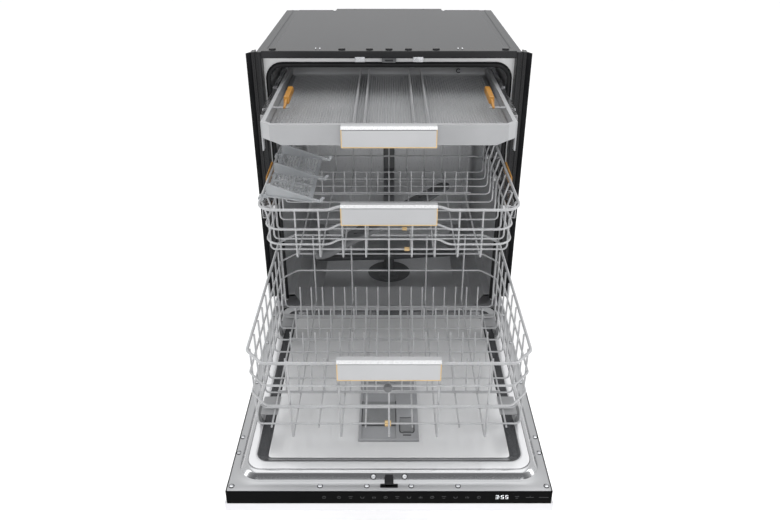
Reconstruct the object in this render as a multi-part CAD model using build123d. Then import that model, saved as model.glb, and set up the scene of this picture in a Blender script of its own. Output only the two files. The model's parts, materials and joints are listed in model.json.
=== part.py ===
from build123d import *
import math
import os

# A fully integrated, panel-ready dishwasher, shown with its door lying open and its three racks drawn out.
# All sizes are millimetres. While the pieces are made, y = 0 is the cabinet's front plane, +y runs into
# the cabinet, z = 0 is the floor and x = 0 the middle. They are stored with the origin at the centre of
# the whole footprint, on the floor.

# Gaps where pieces touch, sit and pass each other, and the sheet's thickness
touch = 0.05
seat = 0.3
pass_by = 0.4
sheet = 1.2

# Cabinet
cabinet_height = 850.0
cabinet_depth = 556.0
cabinet_half_width = 293.7
rear_reach = cabinet_depth + 16
top_flange = 12.0
top_step = 4.0
upright_inner = cabinet_half_width - 13.7
upright_outer = cabinet_half_width + 4.3
upright_depth = 38.0
upright_bottom = 222.0
strip_flare = 13.0
rail_low = cabinet_height - 14
rail_high = cabinet_height + 2
rail_depth = 26.0
bracket_x = 64.0
plinth_notch_y = 100.0
plinth_notch_z = 175.0
window_half = cabinet_half_width - 103.7
window_low = 306.0
window_high = cabinet_height - 132

# Tub
tub_half_width = cabinet_half_width - 25.7
tub_ceiling = cabinet_height - 34
tub_back_y = cabinet_depth - 15
tub_corner = 30.0
tub_lip = 200.0
flange_y = 20.0
flange_half_width = upright_inner - 0.4
gasket_width = 8.0
gasket_depth = 6.6
ledge_top = 218.0
ledge_inner = tub_half_width - 18
ledge_back = 6.0
floor_slope = 35.0
shelf_z = 183.0
well_z = 150.0
well_front = 114.0
well_back = tub_back_y - 36
sump_radius = 62.0
sump_y = 258.0
sump_depth = 74.0
filter_radius = 30.0
filter_offset = 26.0
duct_width = 34.0
duct_depth = 9.3
ceiling_duct = 5.0

# Base and feet
base_front = 34.0
base_low = 28.0
base_high = 146.0
base_step = 130.0
base_wall = 3.0
foot_radius = 18.0
stud_radius = 4.0
boss_radius = 10.0
front_foot_y = 60.0
rear_foot_y = cabinet_depth - 40
foot_x = cabinet_half_width - 41.7
inlet_x = 190.0
inlet_z = 86.0
inlet_radius = 13.2
drain_x = -120.0
drain_radius = 11.0
pipe_wall = 2.2
pump_radius = 50.0

# Door, lying open
door_reach = 641.2
door_half_width = cabinet_half_width + 5.3
door_inner_z = 203.65
door_thickness = 33.0
door_inner_end = 16.0
pivot_z = 205.2
band_height = 14.35
band_half_width = door_half_width - 13
band_front = door_reach - 20.2
band_back = 21.0
band_corner = 44.0
recess_depth = 11.0
recess_half_width = band_half_width - 34
recess_front = band_front - 41
recess_back = 60.0
recess_corner = 24.0
liner_slope = 44.0
recess_slope = 58.0
strip_return = 26.0
panel_half_width = door_half_width + 5.8
panel_thickness = 20.0
panel_tail = 88.0
hinge_arm_x = door_half_width - 12.4
hinge_plate = 3.0
hinge_pin_radius = 6.0
pin_fit = 0.06

# Dispenser in the door
dispenser_left = -61.0
dispenser_right = 59.5
dispenser_front = 518.6
dispenser_back = 336.0
dispenser_top = 213.0
dispenser_rim = 4.0
cup_left = -52.0
cup_right = 11.0
cup_front = 470.0
cup_back = 414.0
lid_front = 474.8
lid_back = 404.0
lid_thickness = 2.4
lid_edge = 3.0
flap_left = 22.0
flap_right = 50.0
flap_front = 498.0
flap_hinge = 458.0
flap_thickness = 3.4

# Telescopic slides of the third and upper racks
slide_outer = tub_half_width - 4.1
slide_depth = 10.0
slide_wall = 1.2
slide_gap = 0.6
slide_height = 34.4
slide_length = tub_back_y - 61
slide_start = 24.0
runner_setback = 108.0
runner_length = 400.0
third_slide_z = cabinet_height - 100
upper_slide_z = 582.0
third_out = 308.0
upper_out = 382.0

# Third rack, a shallow cutlery tray
third_front = -278.0
third_depth = 494.0
third_half_width = slide_outer - 18.9
third_low = third_slide_z - 5
third_high = third_low + 32
third_wall = 3.0
third_chamfer = 18.0
third_flange = 8.0
comb_height = 19.0
divider_places = (-70.0, -49.0, 50.0, 79.0)
lever_inner = third_half_width - 39
lever_width = 11.0
lever_back = 112.0
comb_pitch = 58.0

# Wires of the upper and lower racks
rim_wire = 5.6
rail_wire = 4.2
basket_wire = 3.6
tine_wire = 3.2
wire_pitch = 46.0
foot_length = 8.0
corner_stub = 1.6
corner_room = 34.0
floor_pitch = 45.0

# Upper rack
upper_front = -352.0
upper_depth = 486.0
upper_rim_z = 634.0
upper_rim_half = slide_outer - 12.9
upper_rail_half = upper_rim_half - 11
upper_rail_heights = (592.5, 560.5)
upper_floor_z = 531.0
upper_corner = (20.0, 20.0)
upper_front_pitch = 45.0
raised_half = 96.0
raised_slope = 20.0
raised_rim = 7.0
raised_rail = 11.5
shelf_tilt = 8.0
shelf_reach = 118.0
trigger_back = 242.0

# Lower rack
lower_front = -572.0
lower_depth = 496.0
lower_rim_z = 441.0
lower_rim_half = tub_half_width - 12.5
lower_rail_heights = (391.0, 345.0)
lower_floor_z = 266.0
lower_corner = (32.0, 38.0)
lower_front_pitch = 90.0
tine_pitch = 26.0
wheel_radius = 18.0
wheel_width = 7.5
wheel_x = lower_rim_half + 1.25
wheel_bore = 3.06
axle_radius = 3.0
wheel_places = (lower_front + 101, lower_front + 406)

# Handles
handle_width = 182.0
handle_height = 42.0
handle_depth = 15.0
handle_wall = 2.6
handle_rise = 17.0

# Spray arms
lower_arm_reach = 224.0
upper_arm_reach = 240.0
upper_arm_turn = 48.0
top_arm_reach = 150.0
arm_width = 46.0
arm_height = 12.0
arm_hub_radius = 22.0
arm_hub_lip = 3.0
spigot_radius = 11.0
arm_y = 280.0
lower_arm_z = 190.0
feed_height = 11.0

# What follows from them
origin_shift = (door_reach - rear_reach) / 2
wheel_z = ledge_top + seat + wheel_radius
shell_low = door_inner_z - door_thickness
shell_high = door_inner_z - sheet
recess_z = door_inner_z + band_height - recess_depth
base_half_width = cabinet_half_width - sheet - seat
slide_step = slide_wall + slide_gap
third_back = third_front + third_depth
flange_top = rail_low - pass_by
arm_hub_height = arm_height + 2 * arm_hub_lip
track_z = dispenser_top - 3.2
flap_z = dispenser_top - flap_thickness - 0.4
upper_feed_z = upper_floor_z - 1.5 * basket_wire - 2 * touch - feed_height / 2
upper_hub_y = upper_front + upper_depth / 2
upper_arm_z = upper_feed_z - feed_height / 2 - 0.5 - arm_hub_height + arm_hub_lip


def block(x, y, z):
    """A cuboid between pairs of limits along x, y and z."""
    centre = Pos((x[0] + x[1]) / 2, (y[0] + y[1]) / 2, (z[0] + z[1]) / 2)
    return centre * Box(x[1] - x[0], y[1] - y[0], z[1] - z[0])


def upright_cylinder(place, radius, low, high):
    x, y = place
    return extrude(Plane.XY.offset(low) * (Pos(x, y) * Circle(radius)), high - low)


def along_x(sketch, start, end):
    return extrude(Plane.YZ.offset(start) * sketch, end - start)


def along_y(sketch, start, end):
    return extrude(Plane.XZ.offset(-end) * sketch, end - start)


def along_z(sketch, start, end):
    return extrude(Plane.XY.offset(start) * sketch, end - start)


def outline(*points):
    return make_face(Polyline(*points, close=True))


def span(x, y):
    """A flat rectangle between pairs of limits."""
    return Pos((x[0] + x[1]) / 2, (y[0] + y[1]) / 2) * Rectangle(x[1] - x[0], y[1] - y[0])


def both_sides(*shapes):
    """The shapes and their mirror images about the middle plane."""
    return [*shapes, *(mirror(shape, Plane.YZ) for shape in shapes)]


def save(name, *shapes):
    """Stores one piece, or a group of like pieces, in the final frame."""
    solids = [solid for shape in shapes for solid in shape.solids()]
    moved = [Pos(0, origin_shift, 0) * solid for solid in solids]
    whole = moved[0] if len(moved) == 1 else Compound(children=moved)
    whole.label = name
    export_step(whole, f"parts/{name}.step")


def section(size, sides=4):
    """The section of a wire: round where it turns in its clips, six-sided or square elsewhere."""
    if sides == 0:
        return Circle(size / 2)
    return Rectangle(size, size) if sides == 4 else RegularPolygon(size / 2, sides)


def rod(start, end, size, flats=(1, 0, 0), sides=4):
    """A straight wire whose section has flats, or corners if six-sided, towards the direction flats."""
    way = Vector(*end) - Vector(*start)
    plane = Plane(origin=start, x_dir=flats, z_dir=way)
    return extrude(plane * section(size, sides), way.length)


def bent_wire(points, size, flats, sides=4):
    """A wire that turns at its points with mitred bends."""
    path = Polyline(*points)
    start = Plane(origin=points[0], x_dir=flats, z_dir=path % 0)
    return sweep(start * section(size, sides), path=path, transition=Transition.RIGHT)


def corner_wire(half_width, end, way, corner, z, size, sides):
    """One bent corner of a hoop, from its front or back bar across to its side."""
    across, along = corner
    points = [
        (half_width - across - corner_stub, end, z),
        (half_width - across, end, z),
        (half_width, end + way * along, z),
        (half_width, end + way * (along + corner_stub), z),
    ]
    return bent_wire(points, size, (0, 1, 0), sides)


def hoop(half_width, front, back, corner, z, size, sides=4, lift=0.0):
    """One hoop round a rack: straight lengths and corners cut across, butt-jointed."""
    right = half_width - corner[0] - corner_stub
    near, far = front + corner[1] + corner_stub, back - corner[1] - corner_stub
    side = rod((half_width, near, z), (half_width, far, z), size, (1, 0, 0), sides)
    front_corner = corner_wire(half_width, front, 1, corner, z, size, sides)
    back_corner = corner_wire(half_width, back, -1, corner, z, size, sides)
    back_bar = rod((-right, back, z), (right, back, z), size, (0, 1, 0), sides)
    bars = [front_bar(right, front, z, size, sides, lift), back_bar]
    return bars + both_sides(side, front_corner, back_corner)


def front_bar(right, y, z, size, sides, lift):
    """The front of a hoop, lifted in the middle where lift is given."""
    if not lift:
        return rod((-right, y, z), (right, y, z), size, (0, 1, 0), sides)
    foot = raised_half + raised_slope
    points = [
        (-right, y, z),
        (-foot, y, z),
        (-raised_half, y, z + lift),
        (raised_half, y, z + lift),
        (foot, y, z),
        (right, y, z),
    ]
    return bent_wire(points, size, (0, 1, 0), sides)


def arch(half_width, top, bottom, radius):
    """A rectangle with its two upper corners rounded, centred on the middle line."""
    shape = span((-half_width, half_width), (bottom, top))
    return fillet(shape.vertices().group_by(Axis.Y)[-1], radius)


def pressed(form, thickness):
    """A pressed sheet: the upper skin of a form."""
    return form - Pos(0, 0, -thickness) * form


# The tub


def tub_shell():
    """The wrap, as its flat walls and rolled corners, and the ribbed back."""
    outer = arch(tub_half_width + sheet, tub_ceiling + sheet, tub_lip, tub_corner + sheet)
    ring = outer - arch(tub_half_width, tub_ceiling, tub_lip, tub_corner)
    depth = (flange_y + sheet, tub_back_y)
    bend_x = tub_half_width - tub_corner
    bend_z = tub_ceiling - tub_corner
    far = tub_half_width + 2 * sheet
    high = tub_ceiling + 2 * sheet
    ceiling = along_y(ring & span((-bend_x, bend_x), (bend_z, high)), *depth)
    wall = along_y(ring & span((bend_x, far), (tub_lip, bend_z)), *depth)
    corner = along_y(ring & span((bend_x, far), (bend_z, high)), *depth)
    back = along_y(outer, tub_back_y, tub_back_y + sheet)
    for height in (320, 470, 700):
        rib = span((-bend_x + 30, bend_x - 30), (height - 13, height + 13))
        back += along_y(rib, tub_back_y + sheet, tub_back_y + 4)
    return [ceiling, *both_sides(wall, corner), back]


def tub_floor():
    """The pressed bottom of the tub: a front shelf, a well and a ledge for the wheels on each side."""
    half = tub_half_width
    form = block((-half, half), (flange_y, tub_back_y), (well_z - 10, ledge_top))
    mouth = span((-ledge_inner, ledge_inner), (-60, tub_back_y - ledge_back))
    form -= extrude(Plane.XY.offset(ledge_top) * mouth, shelf_z - ledge_top, taper=floor_slope)
    narrowing = (ledge_top - shelf_z) * math.tan(math.radians(floor_slope))
    well_half = ledge_inner - narrowing - 14
    well = span((-well_half, well_half), (well_front, well_back))
    form -= extrude(Plane.XY.offset(shelf_z) * well, well_z - shelf_z, taper=floor_slope)
    return pressed(form, sheet) - upright_cylinder((0, sump_y), sump_radius + seat, well_z - 10, well_z + 5)


def front_flange():
    """The pale frame round the tub's mouth, which the gasket seats on."""
    outer = arch(flange_half_width, flange_top, tub_lip, 6)
    inner = arch(tub_half_width, tub_ceiling, tub_lip - 1, tub_corner)
    return along_y(outer - inner, flange_y, flange_y + sheet)


def door_gasket():
    low, high = tub_half_width - 0.5, tub_ceiling - 0.5
    outer = arch(low + gasket_width, high + gasket_width, tub_lip + 6, tub_corner + gasket_width)
    inner = arch(low, high, tub_lip + 5, tub_corner)
    return along_y(outer - inner, flange_y - gasket_depth, flange_y)


def sump():
    """The moulded bowl under the tub, with its strainer plate and the spigot of the lower spray arm."""
    top = well_z
    low = top - sump_depth
    bowl = upright_cylinder((0, sump_y), sump_radius, low, top)
    bowl -= upright_cylinder((0, sump_y - filter_offset), filter_radius - 4 + seat, low + 4, top + 1)
    hub_low = lower_arm_z - arm_hub_lip
    bowl += upright_cylinder((0, arm_y), spigot_radius + 4, top - 1, hub_low - seat)
    return bowl + upright_cylinder((0, arm_y), spigot_radius, top - 1, hub_low + arm_hub_height + 3)


def filter_cup():
    """The cylindrical filter, with a finger grip across its top."""
    place = (0, sump_y - filter_offset)
    top = well_z + seat
    cup = upright_cylinder(place, filter_radius - 4, top - 60, top)
    cup += upright_cylinder(place, filter_radius, top, top + 3.5)
    grip = block((-24, 24), (place[1] - 3, place[1] + 3), (top + 3, top + 14))
    return cup + chamfer(grip.edges().filter_by(Axis.Y).group_by(Axis.Z)[-1], 6)


def spray_arm(place, low, reach, turn):
    """A two-ended arm with swept tips, rows of nozzles and a hub that turns on a spigot."""
    tip = [(reach - 24, 1), (reach - 8, 5), (reach, 13), (reach, 20), (reach - 8, 28), (reach - 24, 32)]
    right = [(0, -arm_width / 2), *tip]
    blade = outline(*right, *((-x, -y) for x, y in right))
    arm = chamfer(along_z(blade, low, low + arm_height).edges().group_by(Axis.Z)[-1], 3)
    hub = RegularPolygon(arm_hub_radius, 12)
    arm += along_z(hub, low - arm_hub_lip, low + arm_height + arm_hub_lip)
    arm -= upright_cylinder((0, 0), spigot_radius + seat, low - 10, low + arm_height + 10)
    for side in (-1, 1):
        for step in range(3):
            nozzle = Pos(side * (70 + 50 * step), side * (5 + 5 * step)) * Rectangle(7, 7)
            arm -= along_z(nozzle, low + arm_height - 3, low + arm_height + 1)
    return Pos(*place, 0) * (Rot(0, 0, turn) * arm)


def top_spray_arm():
    """The small arm that hangs from the duct under the tub's ceiling."""
    top = tub_ceiling - ceiling_duct - seat
    blade = chamfer(Rectangle(2 * top_arm_reach, 30).vertices(), 9)
    arm = chamfer(along_z(blade, top - 14, top - 6).edges().group_by(Axis.Z)[0], 2)
    return Pos(0, arm_y, 0) * (arm + upright_cylinder((0, 0), 12, top - 6, top))


def water_duct():
    """The flat duct up the back wall and along the ceiling, with the outlet that feeds the upper rack."""
    face = tub_back_y - touch - duct_depth
    half = duct_width / 2
    high = tub_ceiling - touch
    duct = block((-half, half), (face, tub_back_y - touch), (ledge_top + 10, high))
    duct += block((-half, half), (arm_y - 14, face + 1), (tub_ceiling - ceiling_duct, high))
    duct = chamfer(duct.edges().filter_by(Axis.Z).group_by(Axis.Y)[0], 3)
    cup = along_y(Pos(0, upper_feed_z) * RegularPolygon(15, 12), face - 7, face + 1)
    return duct + cup - along_y(Pos(0, upper_feed_z) * Circle(7), face - 10, face + 6)


# The slides


def channel(inner, outer, half_height):
    """A C section with its web on the outside."""
    hollow = span((inner, outer - slide_wall), (-half_height + slide_wall, half_height - slide_wall))
    return span((inner, outer), (-half_height, half_height)) - hollow


def rack_guides():
    """The fixed channels of the four telescopic slides, each with two feet on the tub's wall."""
    guides = []
    for z in (third_slide_z, upper_slide_z):
        profile = Pos(0, z) * channel(slide_outer - slide_depth, slide_outer, slide_height / 2)
        guide = along_y(profile, slide_start, slide_start + slide_length)
        for y in (slide_start + 60, slide_start + slide_length - 60):
            guide += block((slide_outer, tub_half_width - touch), (y - 14, y + 14), (z - 10, z + 10))
        guides += both_sides(guide)
    return guides


def middle_slides(z, drawn):
    """The middle members, which travel half as far as the rack."""
    outer = slide_outer - slide_step
    profile = Pos(0, z) * channel(outer - slide_depth, outer, slide_height / 2 - slide_step)
    start = slide_start - 8 - drawn / 2
    return both_sides(along_y(profile, start, start + slide_length))


def runners(z, drawn, rack_side):
    """The inner members, each with three brackets to the side of its rack."""
    outer = slide_outer - 2 * slide_step
    profile = Pos(0, z) * channel(outer - slide_depth, outer, slide_height / 2 - 2 * slide_step)
    start = slide_start + runner_setback - drawn
    runner = along_y(profile, start, start + runner_length)
    for y in (start + 40, start + runner_length / 2, start + runner_length - 60):
        runner += block((rack_side, outer - slide_wall / 2), (y - 12, y + 12), (z - 8, z + 3))
    return both_sides(runner)


# The cabinet


def top_panel():
    """The sheet over the tub: a raised middle, a pressed rib along each side and flanges turned down."""
    half, depth = cabinet_half_width, (rail_depth + seat, cabinet_depth)
    low, plain = cabinet_height - top_flange, cabinet_height - top_step
    form = block((-half, half), depth, (low, plain))
    middle = block((-half + 34, half - 34), (depth[0], depth[1] - 20), (low, cabinet_height))
    form += chamfer(middle.edges().filter_by(Axis.Y).group_by(Axis.Z)[-1], top_step - 0.5)
    rib = block((half - 21, half - 13), (depth[0] + 8, depth[1] - 8), (low, plain + 2))
    for piece in both_sides(chamfer(rib.edges().filter_by(Axis.Y).group_by(Axis.Z)[-1], 1.5)):
        form += piece
    for piece in both_sides(block((-1, 150), (depth[1] - 20, depth[1]), (low, cabinet_height))):
        form += piece
    panel = pressed(form, sheet)
    for piece in both_sides(block((half - sheet, half), depth, (low, plain))):
        panel += piece
    panel += block((-half, half), (depth[1] - sheet, depth[1]), (low, plain))
    for piece in both_sides(upright_cylinder((98, depth[1] - 10), 2.5, low, cabinet_height + 1)):
        panel -= piece
    return panel


def side_panels():
    """The sheets down both sides, cut back at the foot for the open door's panel."""
    low, high = base_low + 6, cabinet_height - top_flange - seat
    face = span((upright_depth + seat, cabinet_depth - sheet - touch), (low, high))
    face -= span((0, plinth_notch_y), (0, plinth_notch_z))
    return both_sides(along_x(face, cabinet_half_width - sheet, cabinet_half_width))


def rear_panel():
    """The back: a lower sheet with the inlet's and the drain's holes, two posts and a top beam."""
    half, high = cabinet_half_width, cabinet_height - top_flange - seat
    sheet_y = (cabinet_depth - sheet, cabinet_depth)
    lower = span((-half, half), (base_low + 6, window_low))
    lower -= Pos(inlet_x, inlet_z) * Circle(inlet_radius - pipe_wall + seat)
    lower -= Pos(drain_x, inlet_z) * Circle(drain_radius - pipe_wall + seat)
    beam = block((-half, half), sheet_y, (window_high, high))
    post = block((window_half, half), sheet_y, (window_low + touch, window_high - touch))
    return [along_y(lower, *sheet_y), beam, *both_sides(post)]


def front_uprights():
    """The black channels down both sides of the mouth, with a bead, a groove and a hollow back."""
    middle = (upright_inner + upright_outer) / 2
    profile = span((upright_inner, upright_outer), (0, upright_depth))
    profile += span((upright_inner + 2, upright_inner + 7), (-1.2, 1))
    profile -= span((middle + 1, middle + 5), (-1, 3))
    profile -= span((upright_inner + 3, upright_outer - 3), (8, upright_depth + 1))
    upright = along_z(profile, upright_bottom, rail_high - 2)
    top_cut = (cabinet_height - top_flange - seat, rail_high + 1)
    upright -= block((upright_inner - 1, upright_outer + 1), (rail_depth, upright_depth + 1), top_cut)
    return both_sides(upright)


def side_sealing_strips():
    """The flared lips that close the gap to the next cabinets."""
    start = upright_outer + 0.2
    lip = outline(
        (start, 3),
        (start + 4, 3),
        (start + strip_flare, -9),
        (start + strip_flare + 1, -7.6),
        (start + 5.5, 8),
        (start + 5.5, 26),
        (start, 26),
    )
    return both_sides(along_z(lip, upright_bottom, rail_high - 3))


def top_rail():
    """The black rail over the mouth, hollow behind, with the pegs of its clips along its upper edge."""
    half = upright_inner - 0.2
    side = outline(
        (1.5, rail_low),
        (0, rail_low + 1.5),
        (0, rail_high - 1.5),
        (1.5, rail_high),
        (rail_depth, rail_high),
        (rail_depth, rail_high - 3),
        (4, rail_high - 3),
        (4, rail_low),
    )
    rail = along_x(side, -half, half)
    for x in (-224, -137, -91, -38, 0, 38, 90, 134, 224):
        rail += block((x - 8, x + 8), (5, 15), (rail_high - 1, rail_high + 3))
    return rail


def counter_brackets():
    """Two bent clips that screw up into the worktop."""
    high = rail_low - seat
    side = outline(
        (-2.6, high - 7),
        (-1.4, high - 7),
        (-1.4, high - sheet),
        (18, high - sheet),
        (18, high),
        (-1.4, high),
        (-1.4, high + 4),
        (-2.6, high + 4),
    )
    clip = along_x(side, bracket_x - 11, bracket_x + 11)
    clip -= along_z(span((bracket_x - 6, bracket_x + 6), (6, 11)), high - 3, high + 1)
    return both_sides(clip)


def door_strike():
    """The hooked keeper in the middle, which the door's latch closes on."""
    low = tub_ceiling + gasket_width + 1
    base = block((-16, 16), (flange_y - 12, flange_y - seat), (low, rail_low - seat))
    base = chamfer(base.edges().filter_by(Axis.Y), 2)
    return base - block((-9, 9), (flange_y - 13, flange_y - 4), (low + 3, rail_low - 4))


def base_tray():
    """The moulded tray that carries the pumps, stepped down at the front, with a boss over each foot."""
    back = cabinet_depth - 4
    half = base_half_width
    floor = span((-half, half), (base_front, back))
    floor = chamfer(floor.vertices(), 10)
    tray = along_z(floor, base_low, base_high)
    tray -= along_z(offset(floor, -base_wall), base_low + base_wall, base_high + 1)
    tray -= block((-half - 1, half + 1), (0, plinth_notch_y + 4), (base_step, base_high + 1))
    for x in (-foot_x, foot_x):
        for y in (front_foot_y, rear_foot_y):
            tray += along_z(Pos(x, y) * RegularPolygon(boss_radius, 6), base_low, base_low + 60)
            tray -= upright_cylinder((x, y), stud_radius + seat, base_low - 1, base_low + 61)
    for x, radius in ((inlet_x, inlet_radius), (drain_x, drain_radius)):
        tray -= block((x - radius, x + radius), (back - 10, back + 1), (inlet_z - radius, base_high + 1))
    face = base_front + base_wall - 1
    for x in (-150, -50, 50, 150):
        rib = outline((face, base_low + 1), (face + 38, base_low + 1), (face, base_step - 20))
        tray += along_x(rib, x - 1.5, x + 1.5)
    return tray


def foot(x, y):
    """A levelling foot: a six-sided pad to turn it by and a stud up into the tray."""
    pad = chamfer(along_z(RegularPolygon(foot_radius, 6), 0, 12).edges().group_by(Axis.Z)[-1], 3)
    return Pos(x, y, 0) * (pad + upright_cylinder((0, 0), stud_radius, 12, 84))


def hinge_brackets():
    """The fixed plates beside the mouth, with the pins that the door turns on."""
    high = upright_bottom - seat
    low = plinth_notch_z + 10
    side = outline((-10, low), (70, low), (70, high), (6, high), (-10, high - 8))
    inner = hinge_arm_x + hinge_plate + pass_by
    plate = along_x(side, inner, inner + 2.2)
    pin = along_x(Pos(0, pivot_z) * Circle(hinge_pin_radius), hinge_arm_x - 1, inner + 1)
    return both_sides(plate + pin)


def counterweight():
    """The cast block that keeps the open machine on its feet."""
    depth = (cabinet_depth - 86, cabinet_depth - 11)
    weight = block((-95, 150), depth, (base_low + base_wall + seat, inlet_z + 18))
    return chamfer(weight.edges().filter_by(Axis.Z), 6)


# Works in the base


def circulation_pump():
    """The wash pump lying on its side: a finned motor and its volute."""
    centre = (sump_y, base_low + base_wall + seat + pump_radius)
    start = sump_radius + seat
    volute = along_x(Pos(*centre) * RegularPolygon(pump_radius, 16), start, start + 20)
    motor = Pos(*centre) * RegularPolygon(pump_radius - 8, 12)
    pump = volute + along_x(motor, start + 20, start + 116)
    for turn in range(15, 375, 60):
        fin = Pos(*centre) * (Rot(0, 0, turn) * (Pos(pump_radius - 8, 0) * Rectangle(8, 3)))
        pump += along_x(fin, start + 24, start + 96)
    return pump


def drain_pump():
    """The small pump on the sump's other side, with its pipe out through the back."""
    z = inlet_z
    start = -sump_radius - seat
    pump = along_x(Pos(sump_y, z) * RegularPolygon(20, 12), start - 16, start)
    pump += along_x(Pos(sump_y, z) * RegularPolygon(27, 12), drain_x - 26, start - 16)
    end = cabinet_depth + seat
    pump += along_y(Pos(drain_x, z) * Circle(drain_radius - pipe_wall), sump_y, end)
    return pump + along_y(Pos(drain_x, z) * Circle(drain_radius), end, rear_reach)


def inlet_valve():
    """The water valve inside the back, with its spigot for a three-quarter inch nut."""
    back = cabinet_depth - 26
    body = block((inlet_x - 22, inlet_x + 22), (back - 36, back), (inlet_z - 20, inlet_z + 30))
    body = chamfer(body.edges().filter_by(Axis.Y), 5)
    coil = along_z(Pos(inlet_x, back - 18) * RegularPolygon(15, 12), inlet_z + 29, inlet_z + 50)
    end = cabinet_depth + seat
    neck = along_y(Pos(inlet_x, inlet_z) * Circle(inlet_radius - pipe_wall), back - 1, end)
    spigot = along_y(Pos(inlet_x, inlet_z) * Circle(inlet_radius), end, rear_reach)
    bore = along_y(Pos(inlet_x, inlet_z) * Circle(inlet_radius - 4), back + 5, rear_reach + 1)
    return body + coil + neck + spigot - bore


# The door


def liner_form():
    half = door_half_width - 0.6
    form = block((-half, half), (-door_reach + 0.6, -door_inner_end), (door_inner_z - 12, door_inner_z))
    middle = Pos(0, -(band_front + band_back) / 2)
    band = middle * RectangleRounded(2 * band_half_width, band_front - band_back, band_corner)
    form += extrude(Plane.XY.offset(door_inner_z) * band, band_height, taper=liner_slope)
    middle = Pos(0, -(recess_front + recess_back) / 2)
    mouth = middle * RectangleRounded(2 * recess_half_width, recess_front - recess_back, recess_corner)
    top = Plane.XY.offset(door_inner_z + band_height)
    return form - extrude(top * mouth, -recess_depth, taper=recess_slope)


def latch_slot():
    """The T that the keeper enters."""
    return span((-7, 7), (-632, -614)) + span((-15, 15), (-632, -626))


def door_liner():
    """The pressed inner sheet: flat flange, raised band and dished middle, open for the dispenser."""
    rim = dispenser_rim
    cut = span(
        (dispenser_left + rim, dispenser_right - rim), (-dispenser_front + rim, -dispenser_back - rim)
    )
    skin = pressed(liner_form(), sheet) - along_z(cut, door_inner_z - 20, door_inner_z + 20)
    return skin - along_z(latch_slot(), door_inner_z - 5, door_inner_z + 9)


def door_latch():
    """The latch's housing behind the slot."""
    housing = block((-24, 24), (-635, -610), (shell_high - 14, shell_high - touch))
    return housing - along_z(latch_slot(), shell_high - 10, shell_high + 1)


def door_shell():
    """The black outer tray of the door, which the liner closes."""
    half, back = door_half_width, -door_inner_end
    front = -door_reach + strip_return
    tray = block((-half, half), (front, back), (shell_low, shell_high))
    tray -= block((-half + 1, half - 1), (front - 1, back - 1), (shell_low + 1, shell_high + 1))
    for x in (-hinge_arm_x, hinge_arm_x):
        tray -= block((x - 6, x + 6), (back - 3, back + 1), (shell_low + 1, shell_high + 1))
    return tray


def control_strip():
    """The black moulding along the door's free edge, hollow behind its face, with a pocket at each key."""
    front, back = -door_reach, -door_reach + strip_return - seat
    wall = 2.5
    side = outline(
        (front, shell_low + 1),
        (front, shell_high),
        (front + 18, shell_high),
        (front + 18, shell_high - wall),
        (front + wall, shell_high - wall),
        (front + wall, shell_low + wall),
        (back, shell_low + wall),
        (back, shell_low),
        (front + 1, shell_low),
    )
    half = door_half_width + 0.6
    strip = along_x(side, -half, half)
    for piece in both_sides(block((half - wall, half), (front + 1, back), (shell_low + 1, shell_high))):
        strip += piece
    strip -= block((-26, 26), (front + wall, back + 1), (shell_high - 16, shell_high + 1))
    for step in range(13):
        x = -96 + 22 * step
        strip -= block((x - 4, x + 4), (front + wall - 1, front + wall + 1), (shell_low + 8, shell_low + 16))
    return strip


def furniture_panel():
    """The kitchen's own front, screwed to the outside of the door."""
    high = shell_low - 0.2
    y = (-door_reach + 0.8, panel_tail)
    panel = block((-panel_half_width, panel_half_width), y, (high - panel_thickness, high))
    return chamfer(panel.edges().group_by(Axis.Z)[0], 1.5)


def dispenser_body():
    """A detergent cup on the left under a sliding lid's track, and a seat for the rinse-aid flap."""
    left, right, rim = dispenser_left, dispenser_right, dispenser_rim
    front, back = -dispenser_front, -dispenser_back
    plate = along_z(span((left, right), (front, back)), recess_z + touch, dispenser_top)
    plate = chamfer(plate.edges().group_by(Axis.Z)[-1], 1.5)
    inset = rim + 0.5
    neck = span((left + inset, right - inset), (front + inset, back - inset))
    body = plate + along_z(neck, shell_low + 4, recess_z + 1)
    cup = block((cup_left, cup_right), (-cup_front, -cup_back), (shell_low + 7, dispenser_top + 1))
    body -= chamfer(cup.edges().filter_by(Axis.Z), 6)
    body -= block((left + rim + 2, cup_right + 3), (front + rim, back - rim), (track_z, dispenser_top + 1))
    flap = (flap_left - seat, flap_right + seat)
    return body - block(flap, (-flap_front - seat, -flap_hinge + 6), (flap_z - seat, dispenser_top + 1))


def detergent_lid():
    """The sliding lid over the detergent cup, with ridges to push."""
    low = track_z + seat
    x = (dispenser_left + dispenser_rim + 2 + seat, cup_right + 3 - seat)
    lid = block(x, (-lid_front, -lid_back), (low, low + lid_thickness))
    for step in range(3):
        y = -lid_front + 8 + 5 * step
        lid += block((x[0] + 14, x[1] - 14), (y, y + 2), (low + lid_thickness, low + lid_thickness + 1.2))
    return lid


def rinse_aid_flap():
    """The small flap over the rinse-aid tank, with a tongue at its free end."""
    flap = block((flap_left, flap_right), (-flap_front, -flap_hinge), (flap_z, flap_z + flap_thickness))
    flap = chamfer(flap.edges().group_by(Axis.Z)[-1], 0.8)
    roll = Pos(-flap_hinge, flap_z + flap_thickness / 2) * Circle(flap_thickness / 2)
    flap += along_x(roll, flap_left, flap_right)
    high = flap_z + flap_thickness
    tongue = (-flap_front + 2, -flap_front + 8)
    return flap + block((flap_left + 6, flap_right - 6), tongue, (high, high + 1.8))


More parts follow.
